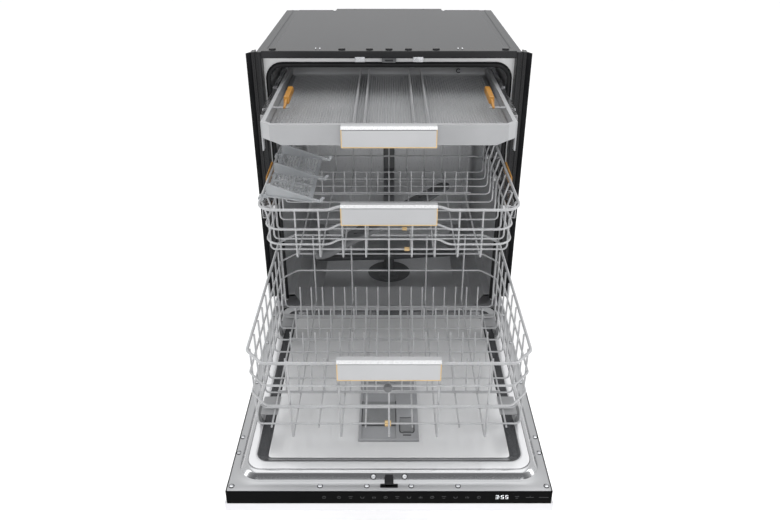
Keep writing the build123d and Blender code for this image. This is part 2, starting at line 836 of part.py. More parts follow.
def hinge_arms():
    """Bent steel arms in the door's sides, each with an eye that turns on the bracket's pin."""
    low = shell_low + 1 + seat
    rear = -door_inner_end
    side = outline(
        (-190, low),
        (-190, low + 24),
        (rear + 1, low + 27),
        (-11, pivot_z + 7),
        (0, pivot_z + 11),
        (11, pivot_z),
        (4, pivot_z - 13),
        (rear - 8, low),
    )
    plate = along_x(side, hinge_arm_x, hinge_arm_x + hinge_plate)
    eye = along_x(Pos(0, pivot_z) * Circle(hinge_pin_radius + pin_fit), hinge_arm_x - 1, hinge_arm_x + 9)
    return both_sides(plate - eye)


# Handles, alike on the three racks


def rack_handle(back, top):
    """A shell with a bevelled top edge, open behind and below for the fingers."""
    front, low, wall = back - handle_depth, top - handle_height, handle_wall
    skin = [(front + 1, low), (front, low + 1), (front, top - 5), (front + 4, top), (back, top)]
    side = outline(
        *skin,
        (back, top - wall),
        (front + 5, top - wall),
        (front + wall, top - 6),
        (front + wall, low + wall),
        (front + 5, low + wall),
        (front + 5, low),
    )
    half = handle_width / 2
    shell = along_x(side, -half, half)
    cheek = outline(*skin, (back, top - handle_height / 2), (front + 6, low))
    for piece in both_sides(along_x(cheek, half - wall, half)):
        shell += piece
    return shell


# The third rack


def tray_outline(front, back, half, cut):
    return chamfer(span((-half, half), (front, back)).vertices().group_by(Axis.Y)[0], cut)


def third_rack_frame():
    """The moulded frame of the tray: chamfered front corners, flanges inside and a deeper front."""
    outer = tray_outline(third_front, third_back, third_half_width, third_chamfer)
    frame = along_z(outer - offset(outer, -third_wall), third_low, third_high)
    lip = outer - offset(outer, -third_flange)
    frame += along_z(lip, third_high - 2.5, third_high) + along_z(lip, third_low, third_low + 2)
    wide, narrow = third_half_width - 19, third_half_width - 39
    skirt = outline(
        (-wide, third_low), (-narrow, third_low - 9), (narrow, third_low - 9), (wide, third_low)
    )
    frame += along_y(skirt, third_front, third_front + third_wall)
    tab = (third_half_width - 2, third_half_width + 0.6)
    for piece in both_sides(block(tab, (third_front + 16, third_front + 30), (third_low - 26, third_high))):
        frame += piece
    return frame


def comb(front, back, z):
    """A divider with notches along its upper edge, seen from the side."""
    strip = span((front, back), (z, z + comb_height))
    count = int((back - front - 20) // comb_pitch)
    start = (front + back) / 2 - comb_pitch * (count - 1) / 2
    for step in range(count):
        y = start + comb_pitch * step
        strip -= outline((y - 10, z + comb_height + 1), (y, z + 4), (y + 10, z + comb_height + 1))
    return strip


def third_rack_floor():
    """The slotted floor and the four notched dividers that stand on it."""
    edge = third_wall + seat
    front, back = third_front + edge, third_back - edge
    half = third_half_width - edge
    low = third_low + 2 + touch
    top = low + 2.2
    floor = tray_outline(front, back, half, third_chamfer)
    columns, rows = 6, 3
    pitch_x, pitch_y = (2 * half - 12) / columns, (back - front - 30) / rows
    for place in GridLocations(pitch_x, pitch_y, columns, rows):
        floor -= Pos(0, (front + back) / 2) * (place * Rectangle(pitch_x - 9, pitch_y - 9))
    divider = comb(front + 22, back - 12, top + touch)
    dividers = [along_x(divider, x - 1.3, x + 1.3) for x in divider_places]
    return [along_z(floor, low, top), *dividers]


def third_lever():
    """The lever that sets the height of one side of the tray."""
    y = third_front + lever_back
    side = outline(
        (y - 8, third_high + 1),
        (y + 16, third_high + 14),
        (y + 104, third_high + 14),
        (y + 120, third_high + 2),
        (y + 106, third_high),
        (y + 6, third_high - 3),
    )
    pin = Pos(y, third_high - 1) * Circle(2.5)
    lever = along_x(side, lever_inner, lever_inner + lever_width)
    return lever + along_x(pin, lever_inner - 1, third_half_width - third_flange - seat)


# The wire racks


def wire_rows(front, depth, corner):
    """Where the cross wires lie, front to back."""
    count = int((depth - 2 * corner[1]) // wire_pitch) + 1
    first = front + depth / 2 - wire_pitch * (count - 1) / 2
    return [first + wire_pitch * step for step in range(count)]


def even_columns(half_span, pitch):
    count = int(half_span // pitch)
    return [pitch * step for step in range(-count, count + 1)]


def basket(front, depth, rim, rails, floor_z, corner, front_pitch, lifts=(0, 0)):
    """A welded basket: three hoops, the uprights inside them and a floor of two layers of wire."""
    back = front + depth
    rim_z, rim_half = rim
    rail_heights, rail_half = rails
    inset = (rim_wire - rail_wire) / 2
    pieces = hoop(rim_half, front, back, corner, rim_z, rim_wire, 6, lifts[0])
    for z in rail_heights:
        pieces += hoop(rail_half, front + inset, back - inset, corner, z, rail_wire, 4, lifts[1])
    inward = basket_wire / 2 + touch
    side_x = rail_half - rail_wire / 2 - inward
    rim_x = rim_half - rim_wire / 2 - inward
    rows = wire_rows(front, depth, corner)
    for y in rows:
        line = [(rim_x, y, rim_z), (side_x, y, rail_heights[0] + 4)]
        pieces += both_sides(upright(line, (side_x, y, floor_z), (-1, 0)))
        half = side_x - foot_length
        pieces.append(rod((-half, y, floor_z), (half, y, floor_z), basket_wire, (0, 1, 0)))
    long_z = floor_z - basket_wire - touch
    wall_y = rim_wire / 2 + inward
    ends = ((front + wall_y, 1), (back - wall_y, -1))
    columns = even_columns(rim_half - corner_room, front_pitch)
    for x in columns:
        for y, way in ends:
            high = rim_z + (lifts[0] if way > 0 and abs(x) < raised_half else 0)
            pieces.append(upright([(x, y, high)], (x, y, long_z), (0, way)))
    for x in even_columns(side_x - 20, floor_pitch):
        reach = wall_y + foot_length if x in columns else rows[0] - front - 6
        pieces.append(rod((x, front + reach, long_z), (x, back - reach, long_z), basket_wire))
    return pieces


def upright(line, base, inward):
    """A wall wire: down the given line, then in along the floor."""
    x, y, z = base
    way_x, way_y = inward
    end = (x + way_x * foot_length, y + way_y * foot_length, z)
    return bent_wire([*line, base, end], basket_wire, (abs(way_y), abs(way_x), 0))


def tine_row(y, floor_z, half, height, lean, bar_sides=0):
    """One row of tines that lean back a little, on a cross wire just over the floor."""
    z = floor_z + basket_wire / 2 + seat + tine_wire / 2
    pieces = [rod((-half, y, z), (half, y, z), tine_wire, (0, 1, 0), bar_sides)]
    base = z + tine_wire / 2 + touch
    for x in even_columns(half - 8, tine_pitch):
        pieces.append(rod((x, y, base), (x, y + lean, base + height), tine_wire))
    return pieces


def wheel(x, y):
    """A roller with a dished face and a bore for its axle."""
    half = wheel_width / 2
    profile = outline(
        (wheel_bore, -half),
        (wheel_radius, -half),
        (wheel_radius, half),
        (wheel_bore, half - 2.5),
    )
    turned = revolve(Plane.XZ * profile, Axis.Z)
    side = 1 if x > 0 else -1
    return Pos(x, y, wheel_z) * (Rot(0, 90 * side, 0) * turned)


def wheel_brackets():
    """The plates that hang from the floor wires of the lower rack and carry the axles."""
    pieces = []
    high = lower_floor_z - 1.5 * basket_wire - 2 * touch
    inner = wheel_x - wheel_width / 2 - pass_by
    outer_wire = even_columns(lower_rim_half - 25, floor_pitch)[-1]
    for y in wheel_places:
        side = outline((y - 26, high), (y - 9, wheel_z - 8), (y + 9, wheel_z - 8), (y + 26, high))
        plate = along_x(side, inner - 3, inner)
        axle = along_x(Pos(y, wheel_z) * Circle(axle_radius), inner - 1, inner + wheel_width + 1.2)
        shelf = block((outer_wire - 6, inner - 2), (y - 26, y + 26), (high - 3, high))
        pieces += both_sides(plate + axle + shelf)
    return pieces


def cup_shelf():
    """The flip-down glass shelf on the left, with rings round the rim, hooked arms and a ladder tread."""
    rows = wire_rows(upper_front, upper_depth, upper_corner)
    front, back = rows[1] - wire_pitch / 2, rows[6] - wire_pitch / 2
    ring = RegularPolygon(rim_wire / 2 + 3.4, 8) - Circle(rim_wire / 2 + seat)
    reach, low = shelf_reach, 5
    shelf = None
    for y in (front, back):
        eye = along_y(ring, y - 6, y + 6)
        shelf = eye if shelf is None else shelf + eye
        shelf += block((rim_wire / 2 + 1, 12), (y - 6, y + 6), (2, low + 2.4))
    tread = span((8, reach - 18), (front - 6, back + 6))
    pitch = (back - front) / 3
    for column in range(2):
        for row in range(3):
            y = front + pitch * (row + 0.5)
            x = 14 + 42 * column
            tread -= span((x, x + 36), (y - pitch / 2 + 4, y + pitch / 2 - 4))
    shelf += along_z(tread, low, low + 2.4)
    arm = outline(
        (8, low), (reach, low), (reach + 6, low + 12), (reach, low + 13), (reach - 5, low + 5), (8, low + 26)
    )
    for y in (front, (front + back) / 2, back):
        shelf += along_y(arm, y - 2, y + 2)
    return Pos(-upper_rim_half, 0, upper_rim_z) * (Rot(0, shelf_tilt, 0) * shelf)


def height_levers():
    """The triggers outside the upper rack's rim, which free its height adjusters."""
    x = upper_rim_half + rim_wire / 2 + seat + 1.6
    y, low = upper_front + trigger_back, upper_rim_z - 19
    side = outline(
        (y - 90, low + 4),
        (y - 84, low + 22),
        (y - 2, low + 24),
        (y + 12, low + 12),
        (y + 6, low),
        (y - 80, low),
    )
    boss = Pos(y, low + 8) * Circle(4)
    return both_sides(along_x(side, x - 1.6, x + 1.6) + along_x(boss, x, x + 2.6))


def upper_feed_tube():
    """The pipe under the upper rack, from its rear inlet to the spigot that holds its spray arm."""
    low = upper_feed_z - feed_height / 2
    tail = upper_front + upper_depth + 6
    pipe = along_y(Pos(0, upper_feed_z) * Rectangle(24, feed_height), upper_hub_y, tail)
    hub = along_z(Pos(0, upper_hub_y) * RegularPolygon(18, 12), low, low + feed_height)
    seat_z = upper_arm_z - arm_hub_lip - seat
    spigot = upright_cylinder((0, upper_hub_y), spigot_radius, seat_z - 1, low + 1)
    return pipe + hub + spigot + upright_cylinder((0, upper_hub_y), spigot_radius + 4, seat_z - 3, seat_z)


def make_cabinet():
    save("tub_shell", *tub_shell())
    save("tub_floor", tub_floor())
    save("front_flange", front_flange())
    save("door_gasket", door_gasket())
    save("top_panel", top_panel())
    save("side_panels", *side_panels())
    save("rear_panel", *rear_panel())
    save("front_uprights", *front_uprights())
    save("side_sealing_strips", *side_sealing_strips())
    save("top_rail", top_rail())
    save("counter_brackets", *counter_brackets())
    save("door_strike", door_strike())
    save("base_tray", base_tray())
    save("hinge_brackets", *hinge_brackets())
    save("rear_counterweight", counterweight())
    save("sump", sump())
    save("filter_cup", filter_cup())
    save("circulation_pump", circulation_pump())
    save("drain_pump", drain_pump())
    save("inlet_valve", inlet_valve())
    save("rack_guides", *rack_guides())
    save("water_duct", water_duct())
    for end, y in (("front", front_foot_y), ("rear", rear_foot_y)):
        save(f"{end}_left_foot", foot(-foot_x, y))
        save(f"{end}_right_foot", foot(foot_x, y))
    save("lower_spray_arm", spray_arm((0, arm_y), lower_arm_z, lower_arm_reach, 0))
    save("top_spray_arm", top_spray_arm())


def make_door():
    save("door_liner", door_liner())
    save("door_shell", door_shell())
    save("door_latch", door_latch())
    save("control_strip", control_strip())
    save("furniture_panel", furniture_panel())
    save("dispenser_body", dispenser_body())
    save("detergent_lid", detergent_lid())
    save("rinse_aid_flap", rinse_aid_flap())
    save("hinge_arms", *hinge_arms())


def make_third_rack():
    lever = third_lever()
    save("third_rack_frame", third_rack_frame())
    save("third_rack_floor", *third_rack_floor())
    save("third_rack_handle", rack_handle(third_front - touch, third_high))
    save("third_left_lever", mirror(lever, Plane.YZ))
    save("third_right_lever", lever)
    save("third_rack_runners", *runners(third_slide_z, third_out, third_half_width + touch))
    save("third_middle_slides", *middle_slides(third_slide_z, third_out))


def make_upper_rack():
    rim, rails = (upper_rim_z, upper_rim_half), (upper_rail_heights, upper_rail_half)
    lifts = (raised_rim, raised_rail)
    rows = wire_rows(upper_front, upper_depth, upper_corner)
    save("upper_basket", *basket(
        upper_front, upper_depth, rim, rails, upper_floor_z, upper_corner, upper_front_pitch, lifts
    ))
    front = upper_front - rim_wire / 2 - touch
    save("upper_rack_handle", rack_handle(front, upper_rim_z + handle_rise))
    save("upper_tines", *tine_row(rows[6], upper_floor_z, upper_rail_half - 48, 50, 5))
    save("cup_shelf", cup_shelf())
    save("upper_height_levers", *height_levers())
    rack_side = upper_rail_half - rail_wire / 2 + touch
    save("upper_rack_runners", *runners(upper_slide_z, upper_out, rack_side))
    save("upper_middle_slides", *middle_slides(upper_slide_z, upper_out))
    save("upper_feed_tube", upper_feed_tube())
    save("upper_spray_arm", spray_arm((0, upper_hub_y), upper_arm_z, upper_arm_reach, upper_arm_turn))


def make_lower_rack():
    rail_half = lower_rim_half - (rim_wire - rail_wire) / 2
    rim, rails = (lower_rim_z, lower_rim_half), (lower_rail_heights, rail_half)
    rows = wire_rows(lower_front, lower_depth, lower_corner)
    pieces = basket(lower_front, lower_depth, rim, rails, lower_floor_z, lower_corner, lower_front_pitch)
    half = rail_half - 29
    for y in (rows[4], rows[8]):
        pieces += tine_row(y, lower_floor_z, half, 74, 8, 4)
    save("lower_basket", *pieces)
    front = lower_front - rim_wire / 2 - touch
    save("lower_rack_handle", rack_handle(front, lower_rim_z + handle_rise))
    save("lower_front_tines", *tine_row(rows[2], lower_floor_z, half, 74, 8))
    save("lower_rear_tines", *tine_row(rows[6], lower_floor_z, half, 74, 8))
    for end, y in zip(("front", "rear"), wheel_places):
        save(f"{end}_wheels", wheel(-wheel_x, y), wheel(wheel_x, y))
    save("wheel_brackets", *wheel_brackets())


os.makedirs("parts", exist_ok=True)
make_cabinet()
make_door()
make_third_rack()
make_upper_rack()
make_lower_rack()
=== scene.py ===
# %% [markdown]
# # A built-in dishwasher, open, with its three racks drawn out
#
# The real machine is mostly bright sheet steel, plastic-coated wire and black trim. The imported CAD model
# gives every piece its place, so this lesson only adds what CAD leaves out: round wires with bends, softened
# edges, pressed sheet with rolled corners, printed marks and finishes. We start by loading that frame.

# %% Load the frame
import json
import bmesh
import bpy
from math import copysign, cos, dist, pi, radians, sin
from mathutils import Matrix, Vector


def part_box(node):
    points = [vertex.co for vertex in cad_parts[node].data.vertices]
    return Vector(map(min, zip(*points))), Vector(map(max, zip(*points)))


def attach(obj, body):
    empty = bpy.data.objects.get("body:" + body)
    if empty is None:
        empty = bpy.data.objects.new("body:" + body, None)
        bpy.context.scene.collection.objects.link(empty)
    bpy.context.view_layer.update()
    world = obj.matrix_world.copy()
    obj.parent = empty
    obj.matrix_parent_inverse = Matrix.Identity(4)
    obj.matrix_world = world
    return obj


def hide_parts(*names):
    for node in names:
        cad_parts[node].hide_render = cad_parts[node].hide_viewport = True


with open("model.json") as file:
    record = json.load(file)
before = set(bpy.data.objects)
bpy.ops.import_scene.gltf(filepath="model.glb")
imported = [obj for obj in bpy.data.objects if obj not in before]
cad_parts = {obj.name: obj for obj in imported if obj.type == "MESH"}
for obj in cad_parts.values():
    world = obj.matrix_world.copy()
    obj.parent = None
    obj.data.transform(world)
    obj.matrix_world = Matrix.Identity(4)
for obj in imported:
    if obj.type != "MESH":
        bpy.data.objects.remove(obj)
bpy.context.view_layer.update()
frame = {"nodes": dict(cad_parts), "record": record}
nodes = frame["nodes"]

# %% [markdown]
# All sizes below are millimetres from the middle of the cabinet's front plane, with y into the cabinet and z
# up from the floor, because that is how a dishwasher is drawn. Blender wants metres from the frame's own
# origin. One small function changes one into the other, so no other cell has to think about it.

# %% Places and small mesh helpers
MM = 0.001
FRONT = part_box("top_rail")[0].y
record = frame["record"]
body_of_node = {node: body for body, members in record["behaviour"]["bodies"].items() for node in members}
slot_of_node = {row["node"]: row["material_slot"] for row in record["subparts"]}


def place(x, y, z):
    return Vector((x * MM, FRONT + y * MM, z * MM))


def put_away(*helpers):
    """Removes models and cutters that have done their work."""
    for helper in helpers:
        bpy.data.objects.remove(helper)


def linked(name, data):
    """A new object in the scene that carries the data given."""
    thing = bpy.data.objects.new(name, data)
    bpy.context.scene.collection.objects.link(thing)
    return thing


def make_object(name, vertices, edges=(), faces=()):
    """A mesh object at the origin from points in millimetres."""
    mesh = bpy.data.meshes.new(name)
    mesh.from_pydata([place(*point) for point in vertices], edges, faces)
    return linked(name, mesh)


def ring_faces(rings, count, closed=True, joined=False, ends=False):
    """Faces between rings of equally many points, which may be joined last to first or filled at the ends."""
    faces = [
        (r * count + i, r * count + (i + 1) % count,
         (r + 1) % rings * count + (i + 1) % count, (r + 1) % rings * count + i)
        for r in range(rings if joined else rings - 1) for i in range(count if closed else count - 1)
    ]
    if ends:
        faces += [tuple(reversed(range(count))), tuple(range((rings - 1) * count, rings * count))]
    return faces


def outward(thing, merge=0.0, change=None):
    """Merges doubled points and changes the mesh if asked, and turns all faces outwards."""
    work = bmesh.new()
    work.from_mesh(thing.data)
    if merge:
        bmesh.ops.remove_doubles(work, verts=work.verts, dist=merge * MM)
    if change:
        change(work)
    bmesh.ops.recalc_face_normals(work, faces=work.faces)
    work.to_mesh(thing.data)
    work.free()
    return thing


def baked(thing):
    """Runs the modifiers and keeps their result as the plain mesh."""
    bpy.context.view_layer.update()
    mesh = bpy.data.meshes.new_from_object(thing.evaluated_get(bpy.context.evaluated_depsgraph_get()))
    thing.modifiers.clear()
    thing.data = mesh
    return thing


def rounded(thing, width, steps=2, angle=35):
    """Rounds every edge sharper than the angle and shades the piece smoothly."""
    thing.data.shade_smooth()
    if width:
        bevel = thing.modifiers.new("round_edges", "BEVEL")
        bevel.width = width * MM
        bevel.segments = steps
        bevel.limit_method = "ANGLE"
        bevel.angle_limit = radians(angle)
    thing.modifiers.new("flat_faces", "WEIGHTED_NORMAL").keep_sharp = True
    return baked(thing)


def settle(thing, body, slot, replaced=(), material=None):
    """Gives a finished piece its material, by default its slot's finish, and its body, and hides what it
    replaces.
    """
    thing.data.materials.clear()
    thing.data.materials.append(material or finishes[slot])
    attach(thing, body)
    if replaced:
        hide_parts(*replaced)
    return thing


# %% [markdown]
# ## Finishes
# A finish is more than a colour. Real paint, plastic and steel vary a little in tone and in gloss, and carry
# a fine relief. One builder makes them all: a Principled shader whose colour and roughness follow soft noise,
# and whose surface has a fine bump. Metals also get long stretched streaks, as rolling and brushing leave
# them. Everything reads Object coordinates, so that the pattern stays on the piece when a rack or the door
# moves.

# %% The material builder
def preset(node, **values):
    """Sets a node's own inputs by name, with an underscore for each space."""
    for label, value in values.items():
        node.inputs[label.replace("_", " ")].default_value = value
    return node


def add_node(tree, kind, **values):
    return preset(tree.nodes.new(kind), **values)


def link_all(tree, rows):
    """Links, each given as a node, its output, the next node and its input."""
    for source, output, target, entry in rows:
        tree.links.new(source.outputs[output], target.inputs[entry])


def colour_mix(tree, low, high):
    """A node that mixes two colours."""
    mix = tree.nodes.new("ShaderNodeMix")
    mix.data_type = "RGBA"
    return preset(mix, A=(*low, 1), B=(*high, 1))


def noise_at(tree, where, scale, detail, stretch):
    mapping = add_node(tree, "ShaderNodeMapping", Scale=stretch)
    noise = add_node(tree, "ShaderNodeTexNoise", Scale=scale, Detail=detail)
    link_all(tree, [(where, "Object", mapping, "Vector"), (mapping, "Vector", noise, "Vector")])
    return noise


def spread(tree, noise, low, high):
    """Maps a noise value, which mostly lies between 0.3 and 0.7, to a range."""
    node = add_node(tree, "ShaderNodeMapRange", From_Min=0.3, From_Max=0.7, To_Min=low, To_Max=high)
    link_all(tree, [(noise, "Fac", node, "Value")])
    return node


def finish(name, colour, rough, metal=0.0, vary=0.06, gloss_vary=0.06, scale=9.0, stretch=(1, 1, 1),
           grain=900.0, grain_stretch=(1, 1, 1), relief=0.02, coat=0.0, shine=0.5, see_through=0.0, glow=0.0):
    """A material with uneven tone, uneven gloss and a fine relief."""
    material = bpy.data.materials.new(name)
    material.use_nodes = True
    tree = material.node_tree
    shader = tree.nodes["Principled BSDF"]
    preset(shader, Metallic=metal, Coat_Weight=coat, Specular_IOR_Level=shine, Transmission_Weight=see_through)
    if glow:
        preset(shader, Emission_Color=(*colour, 1), Emission_Strength=glow)
    where = tree.nodes.new("ShaderNodeTexCoord")
    broad = noise_at(tree, where, scale, 4.0, stretch)
    fine = noise_at(tree, where, grain, 2.0, grain_stretch)
    tone = colour_mix(tree, [part * (1 - 2 * vary) for part in colour],
                      [min(1.0, part * (1 + vary)) for part in colour])
    bump = add_node(tree, "ShaderNodeBump", Strength=relief, Distance=0.0004)
    link_all(tree, [
        (spread(tree, broad, 0, 1), "Result", tone, "Factor"),
        (tone, "Result", shader, "Base Color"),
        (spread(tree, fine, rough - gloss_vary, rough + gloss_vary), "Result", shader, "Roughness"),
        (fine, "Fac", bump, "Height"),
        (bump, "Normal", shader, "Normal"),
    ])
    return material


# %% [markdown]
# The list of finishes follows the record's slots. Steel that was brushed along the machine's width gets
# streaks along x, and the tub's walls get upright ones. Moulded plastics get a fine, even grain. Black trims
# shine only a little, as their real surfaces are etched.

# %% The finishes
along_x = (0.02, 1, 1)
along_z = (1, 1, 0.02)
brushed = {"grain": 3000, "grain_stretch": along_x}
finishes = {
    "stainless": finish(
        "tub_steel", (0.63, 0.635, 0.645), 0.30, 0.66, 0.05, 0.03, 4.0,
        grain=2600, grain_stretch=along_z, relief=0.003),
    "liner_steel": finish(
        "liner_steel", (0.90, 0.905, 0.915), 0.20, 0.45, 0.01, 0.01, 3.0, relief=0.001, **brushed),
    "pale_flange": finish("flange_paint", (0.92, 0.925, 0.93), 0.42, 0.0, 0.03, 0.05, 6.0),
    "gasket": finish(
        "gasket_rubber", (0.012, 0.0125, 0.0135), 0.50, 0.0, 0.15, 0.10, 30.0, relief=0.06, shine=0.3),
    "top_sheet": finish("top_sheet", (0.062, 0.064, 0.068), 0.42, 0.5, 0.06, 0.05, 4.0, stretch=(1, 0.3, 1)),
    "side_sheet": finish("side_sheet", (0.25, 0.255, 0.265), 0.42, 0.5, 0.06, 0.05, 4.0, stretch=(1, 1, 0.3)),
    "black_trim": finish(
        "black_trim", (0.010, 0.0105, 0.012), 0.32, 0.0, 0.15, 0.06, 14.0, relief=0.04, shine=0.3),
    "zinc_bracket": finish("zinc", (0.66, 0.67, 0.69), 0.33, 1.0, 0.12, 0.10, 60.0, relief=0.05),
    "base_plastic": finish("base_plastic", (0.035, 0.036, 0.038), 0.52, 0.0, 0.12, 0.08, 20.0, relief=0.09),
    "counterweight": finish(
        "cast_iron", (0.10, 0.10, 0.10), 0.70, 0.4, 0.25, 0.10, 60.0, grain=300, relief=0.35),
    "grey_plastic": finish("grey_plastic", (0.16, 0.165, 0.17), 0.42, 0.0, 0.08, 0.07, 20.0, relief=0.05),
    "motor": finish("motor_paint", (0.05, 0.05, 0.055), 0.40, 0.3, 0.12, 0.08, 25.0, relief=0.08),
    "valve_plastic": finish("valve_plastic", (0.72, 0.72, 0.69), 0.40, 0.0, 0.05, 0.07, 25.0),
    "slide_steel": finish(
        "slide_steel", (0.48, 0.48, 0.49), 0.24, 1.0, 0.06, 0.06, 12.0,
        grain=1200, grain_stretch=(1, 0.02, 1), relief=0.01),
    "door_black": finish(
        "door_black", (0.012, 0.0125, 0.014), 0.36, 0.0, 0.12, 0.06, 12.0, relief=0.04, shine=0.3),
    "strip_black": finish(
        "strip_black", (0.002, 0.0021, 0.0023), 0.34, 0.0, 0.15, 0.04, 10.0, relief=0.01, shine=0.03),
    "panel_front": finish(
        "panel_lacquer", (0.80, 0.795, 0.82), 0.35, 0.0, 0.02, 0.05, 5.0, relief=0.03, coat=0.2),
    "dispenser": finish("dispenser_grey", (0.27, 0.275, 0.285), 0.36, 0.0, 0.06, 0.06, 18.0, relief=0.05),
    "dispenser_lid": finish("dispenser_lid", (0.20, 0.205, 0.21), 0.33, 0.0, 0.08, 0.06, 18.0, relief=0.04),
    "rack_frame": finish("rack_frame", (0.38, 0.385, 0.395), 0.34, 0.0, 0.04, 0.06, 10.0, relief=0.04),
    "handle_silver": finish(
        "handle_silver", (0.46, 0.465, 0.475), 0.33, 0.35, 0.03, 0.04, 6.0,
        grain=1500, grain_stretch=along_x, relief=0.008),
    "lever_orange": finish("lever_orange", (0.41, 0.19, 0.026), 0.38, 0.0, 0.07, 0.07, 30.0, relief=0.05),
    "coated_wire": finish(
        "coated_wire", (0.42, 0.425, 0.435), 0.30, 0.15, 0.06, 0.06, 40.0, grain=700, relief=0.04),
    "shelf_clear": finish(
        "shelf_clear", (0.60, 0.62, 0.64), 0.20, 0.0, 0.05, 0.06, 20.0, relief=0.03, see_through=0.55),
    "arm_grey": finish("arm_grey", (0.09, 0.093, 0.097), 0.40, 0.0, 0.10, 0.07, 22.0, relief=0.05),
    "wheel_grey": finish("wheel_grey", (0.12, 0.123, 0.127), 0.42, 0.0, 0.08, 0.08, 30.0, relief=0.06),
}
# Four darker copies of the liner's steel follow. They are painted shade on the door sheet's flange and band,
# and painted reflection on its outer slope and inner step. The pale finish after them is a painted highlight.
band_steel_painted_shade = finish("band_steel_painted_shade", (0.76, 0.765, 0.78), 0.24, 0.45, 0.01, 0.01, 3.0, relief=0.001, **brushed)
pressed = finish("slope_steel_painted_reflection", (0.44, 0.445, 0.455), 0.18, 1.0, 0.02, 0.02, 3.0, relief=0.002, **brushed)
drawn = finish("step_steel_painted_reflection", (0.19, 0.193, 0.20), 0.22, 0.8, 0.03, 0.03, 3.0, grain=3000, relief=0.002)
flange_steel_painted_shade = finish("flange_steel_painted_shade", (0.42, 0.425, 0.435), 0.36, 0.75, 0.04, 0.04, 6.0, grain=2400,
                      relief=0.004)
painted_highlight_pale = finish("painted_highlight_pale", (0.86, 0.865, 0.875), 0.28, 0.25, 0.02, 0.03, 6.0, relief=0.005)
gold = finish("gold_trim", (0.62, 0.44, 0.22), 0.34, 0.7, 0.06, 0.06, 30.0, relief=0.02)
print("finishes:", len(finishes) + 6)

# %% [markdown]
# ## Camera, light and floor
# The photograph was taken from in front and above, looking down by about 29 degrees with a moderately wide
# lens. The height, tilt and focal length were fitted to the machine's known width, so they are simply written
# down.

# %% The camera
PHOTO_WIDTH = 780
FOCAL_PIXELS = 700.1
LOOK_DOWN = 28.95
lens = bpy.data.cameras.new("photo_camera")
lens.sensor_width = 36.0
lens.lens = lens.sensor_width * FOCAL_PIXELS / PHOTO_WIDTH
lens.shift_x = 1 / PHOTO_WIDTH
camera = linked("photo_camera", lens)
camera.location = place(0, -1556.5, 1192.4)
camera.rotation_euler = (radians(90 - LOOK_DOWN), 0, 0)
bpy.context.scene.camera = camera
print("lens:", round(lens.lens, 2), "mm")

# %% [markdown]
# Steel shows what stands around it, so large soft lights matter more than strong ones. The world is white
# behind the machine and falls off to grey behind the camera, like a studio that is lit from its back wall:
# sloping sheet then shows dark and pale bands, and flat sheet stays bright. Rays straight from the camera see
# plain white on every side, as a paper backdrop would give. A broad light overhead brightens the door and the
# roof, one in front fills the tub, and two long ones at the sides draw the pale lines down the trims.

# %% Light, world and floor
def soft_light(name, where, aim, size, power):
    data = bpy.data.lights.new(name, "AREA")
    data.shape = "RECTANGLE"
    data.size, data.size_y = size
    data.energy = power
    lamp = linked(name, data)
    lamp.location = where
    lamp.rotation_euler = (Vector(aim) - Vector(where)).to_track_quat("-Z", "Y").to_euler()


soft_light("overhead", (0.0, -0.2, 2.6), (0, -0.1, 0.4), (2.8, 2.4), 22)
soft_light("front", (0.2, -3.3, 1.15), (0, 0.2, 0.5), (3.0, 1.5), 28)
soft_light("left", (-2.1, -0.9, 1.3), (0, 0, 0.4), (0.5, 1.8), 9)
soft_light("right", (2.1, -0.7, 1.4), (0, 0, 0.4), (0.5, 1.8), 11)
world = bpy.data.worlds.new("studio")
world.use_nodes = True
sky = world.node_tree
white, grey = (1.06, 1.06, 1.06), (0.24, 0.243, 0.25)
direction = sky.nodes.new("ShaderNodeTexCoord")
parts = sky.nodes.new("ShaderNodeSeparateXYZ")
fall = add_node(sky, "ShaderNodeMapRange", From_Min=-0.75, From_Max=0.0)
fall.interpolation_type = "SMOOTHSTEP"
shade = colour_mix(sky, grey, white)
ray = sky.nodes.new("ShaderNodeLightPath")
backdrop = colour_mix(sky, grey, white)
link_all(sky, [
    (direction, "Generated", parts, "Vector"),
    (parts, "Y", fall, "Value"),
    (fall, "Result", shade, "Factor"),
    (ray, "Is Camera Ray", backdrop, "Factor"),
    (shade, "Result", backdrop, "A"),
    (backdrop, "Result", sky.nodes["Background"], "Color"),
])
preset(sky.nodes["Background"], Strength=1.0)
bpy.context.scene.world = world
bpy.context.scene.view_settings.view_transform = "Standard"
floor_mesh = bpy.data.meshes.new("studio_floor")
floor_mesh.from_pydata([(-9, -9, 0), (9, -9, 0), (9, 9, 0), (-9, 9, 0)], [], [(0, 1, 2, 3)])
studio_floor = linked("studio_floor", floor_mesh)
paper = finish("studio_floor", (0.95, 0.95, 0.95), 0.60, 0.0, 0.01, 0.03, 2.0, relief=0.01, glow=0.22)
floor_mesh.materials.append(paper)

# %% [markdown]
# ## Softened edges
# No moulded or folded edge is truly sharp: each catches a thin line of light, and that line is what makes a
# plain block look like a product. So most CAD pieces are copied, their doubled points merged and flat regions
# joined, and their edges rounded by a bevel. The copy then takes the CAD piece's place. The widths are what a
# maker would use: 0.3 to 0.5 mm on folded sheet, about 1 mm on mouldings. Two pieces have flat faces that
# wrap round an opening, which one polygon can't show, so those keep their triangles.

# %% Softened copies
KEEP_TRIANGLES = ("tub_floor", "upper_spray_arm")


def merged_copy(node, name, press_front=0.0):
    """A copy of a CAD piece with merged points and joined flats. Its front face is pressed in if asked."""
    def simplify(work):
        if node not in KEEP_TRIANGLES:
            bmesh.ops.dissolve_limit(work, angle_limit=radians(1), verts=work.verts, edges=work.edges)
        front = min(vertex.co.y for vertex in work.verts) + 0.1 * MM
        for vertex in work.verts:
            if press_front and vertex.co.y < front:
                vertex.co.y += press_front * MM

    thing = linked(name, nodes[node].data.copy())
    thing.data.transform(nodes[node].matrix_world)
    return outward(thing, 0.01, simplify)


def soften(node, width):
    thing = rounded(merged_copy(node, node + "_soft"), width)
    return settle(thing, body_of_node[node], slot_of_node[node], [node])


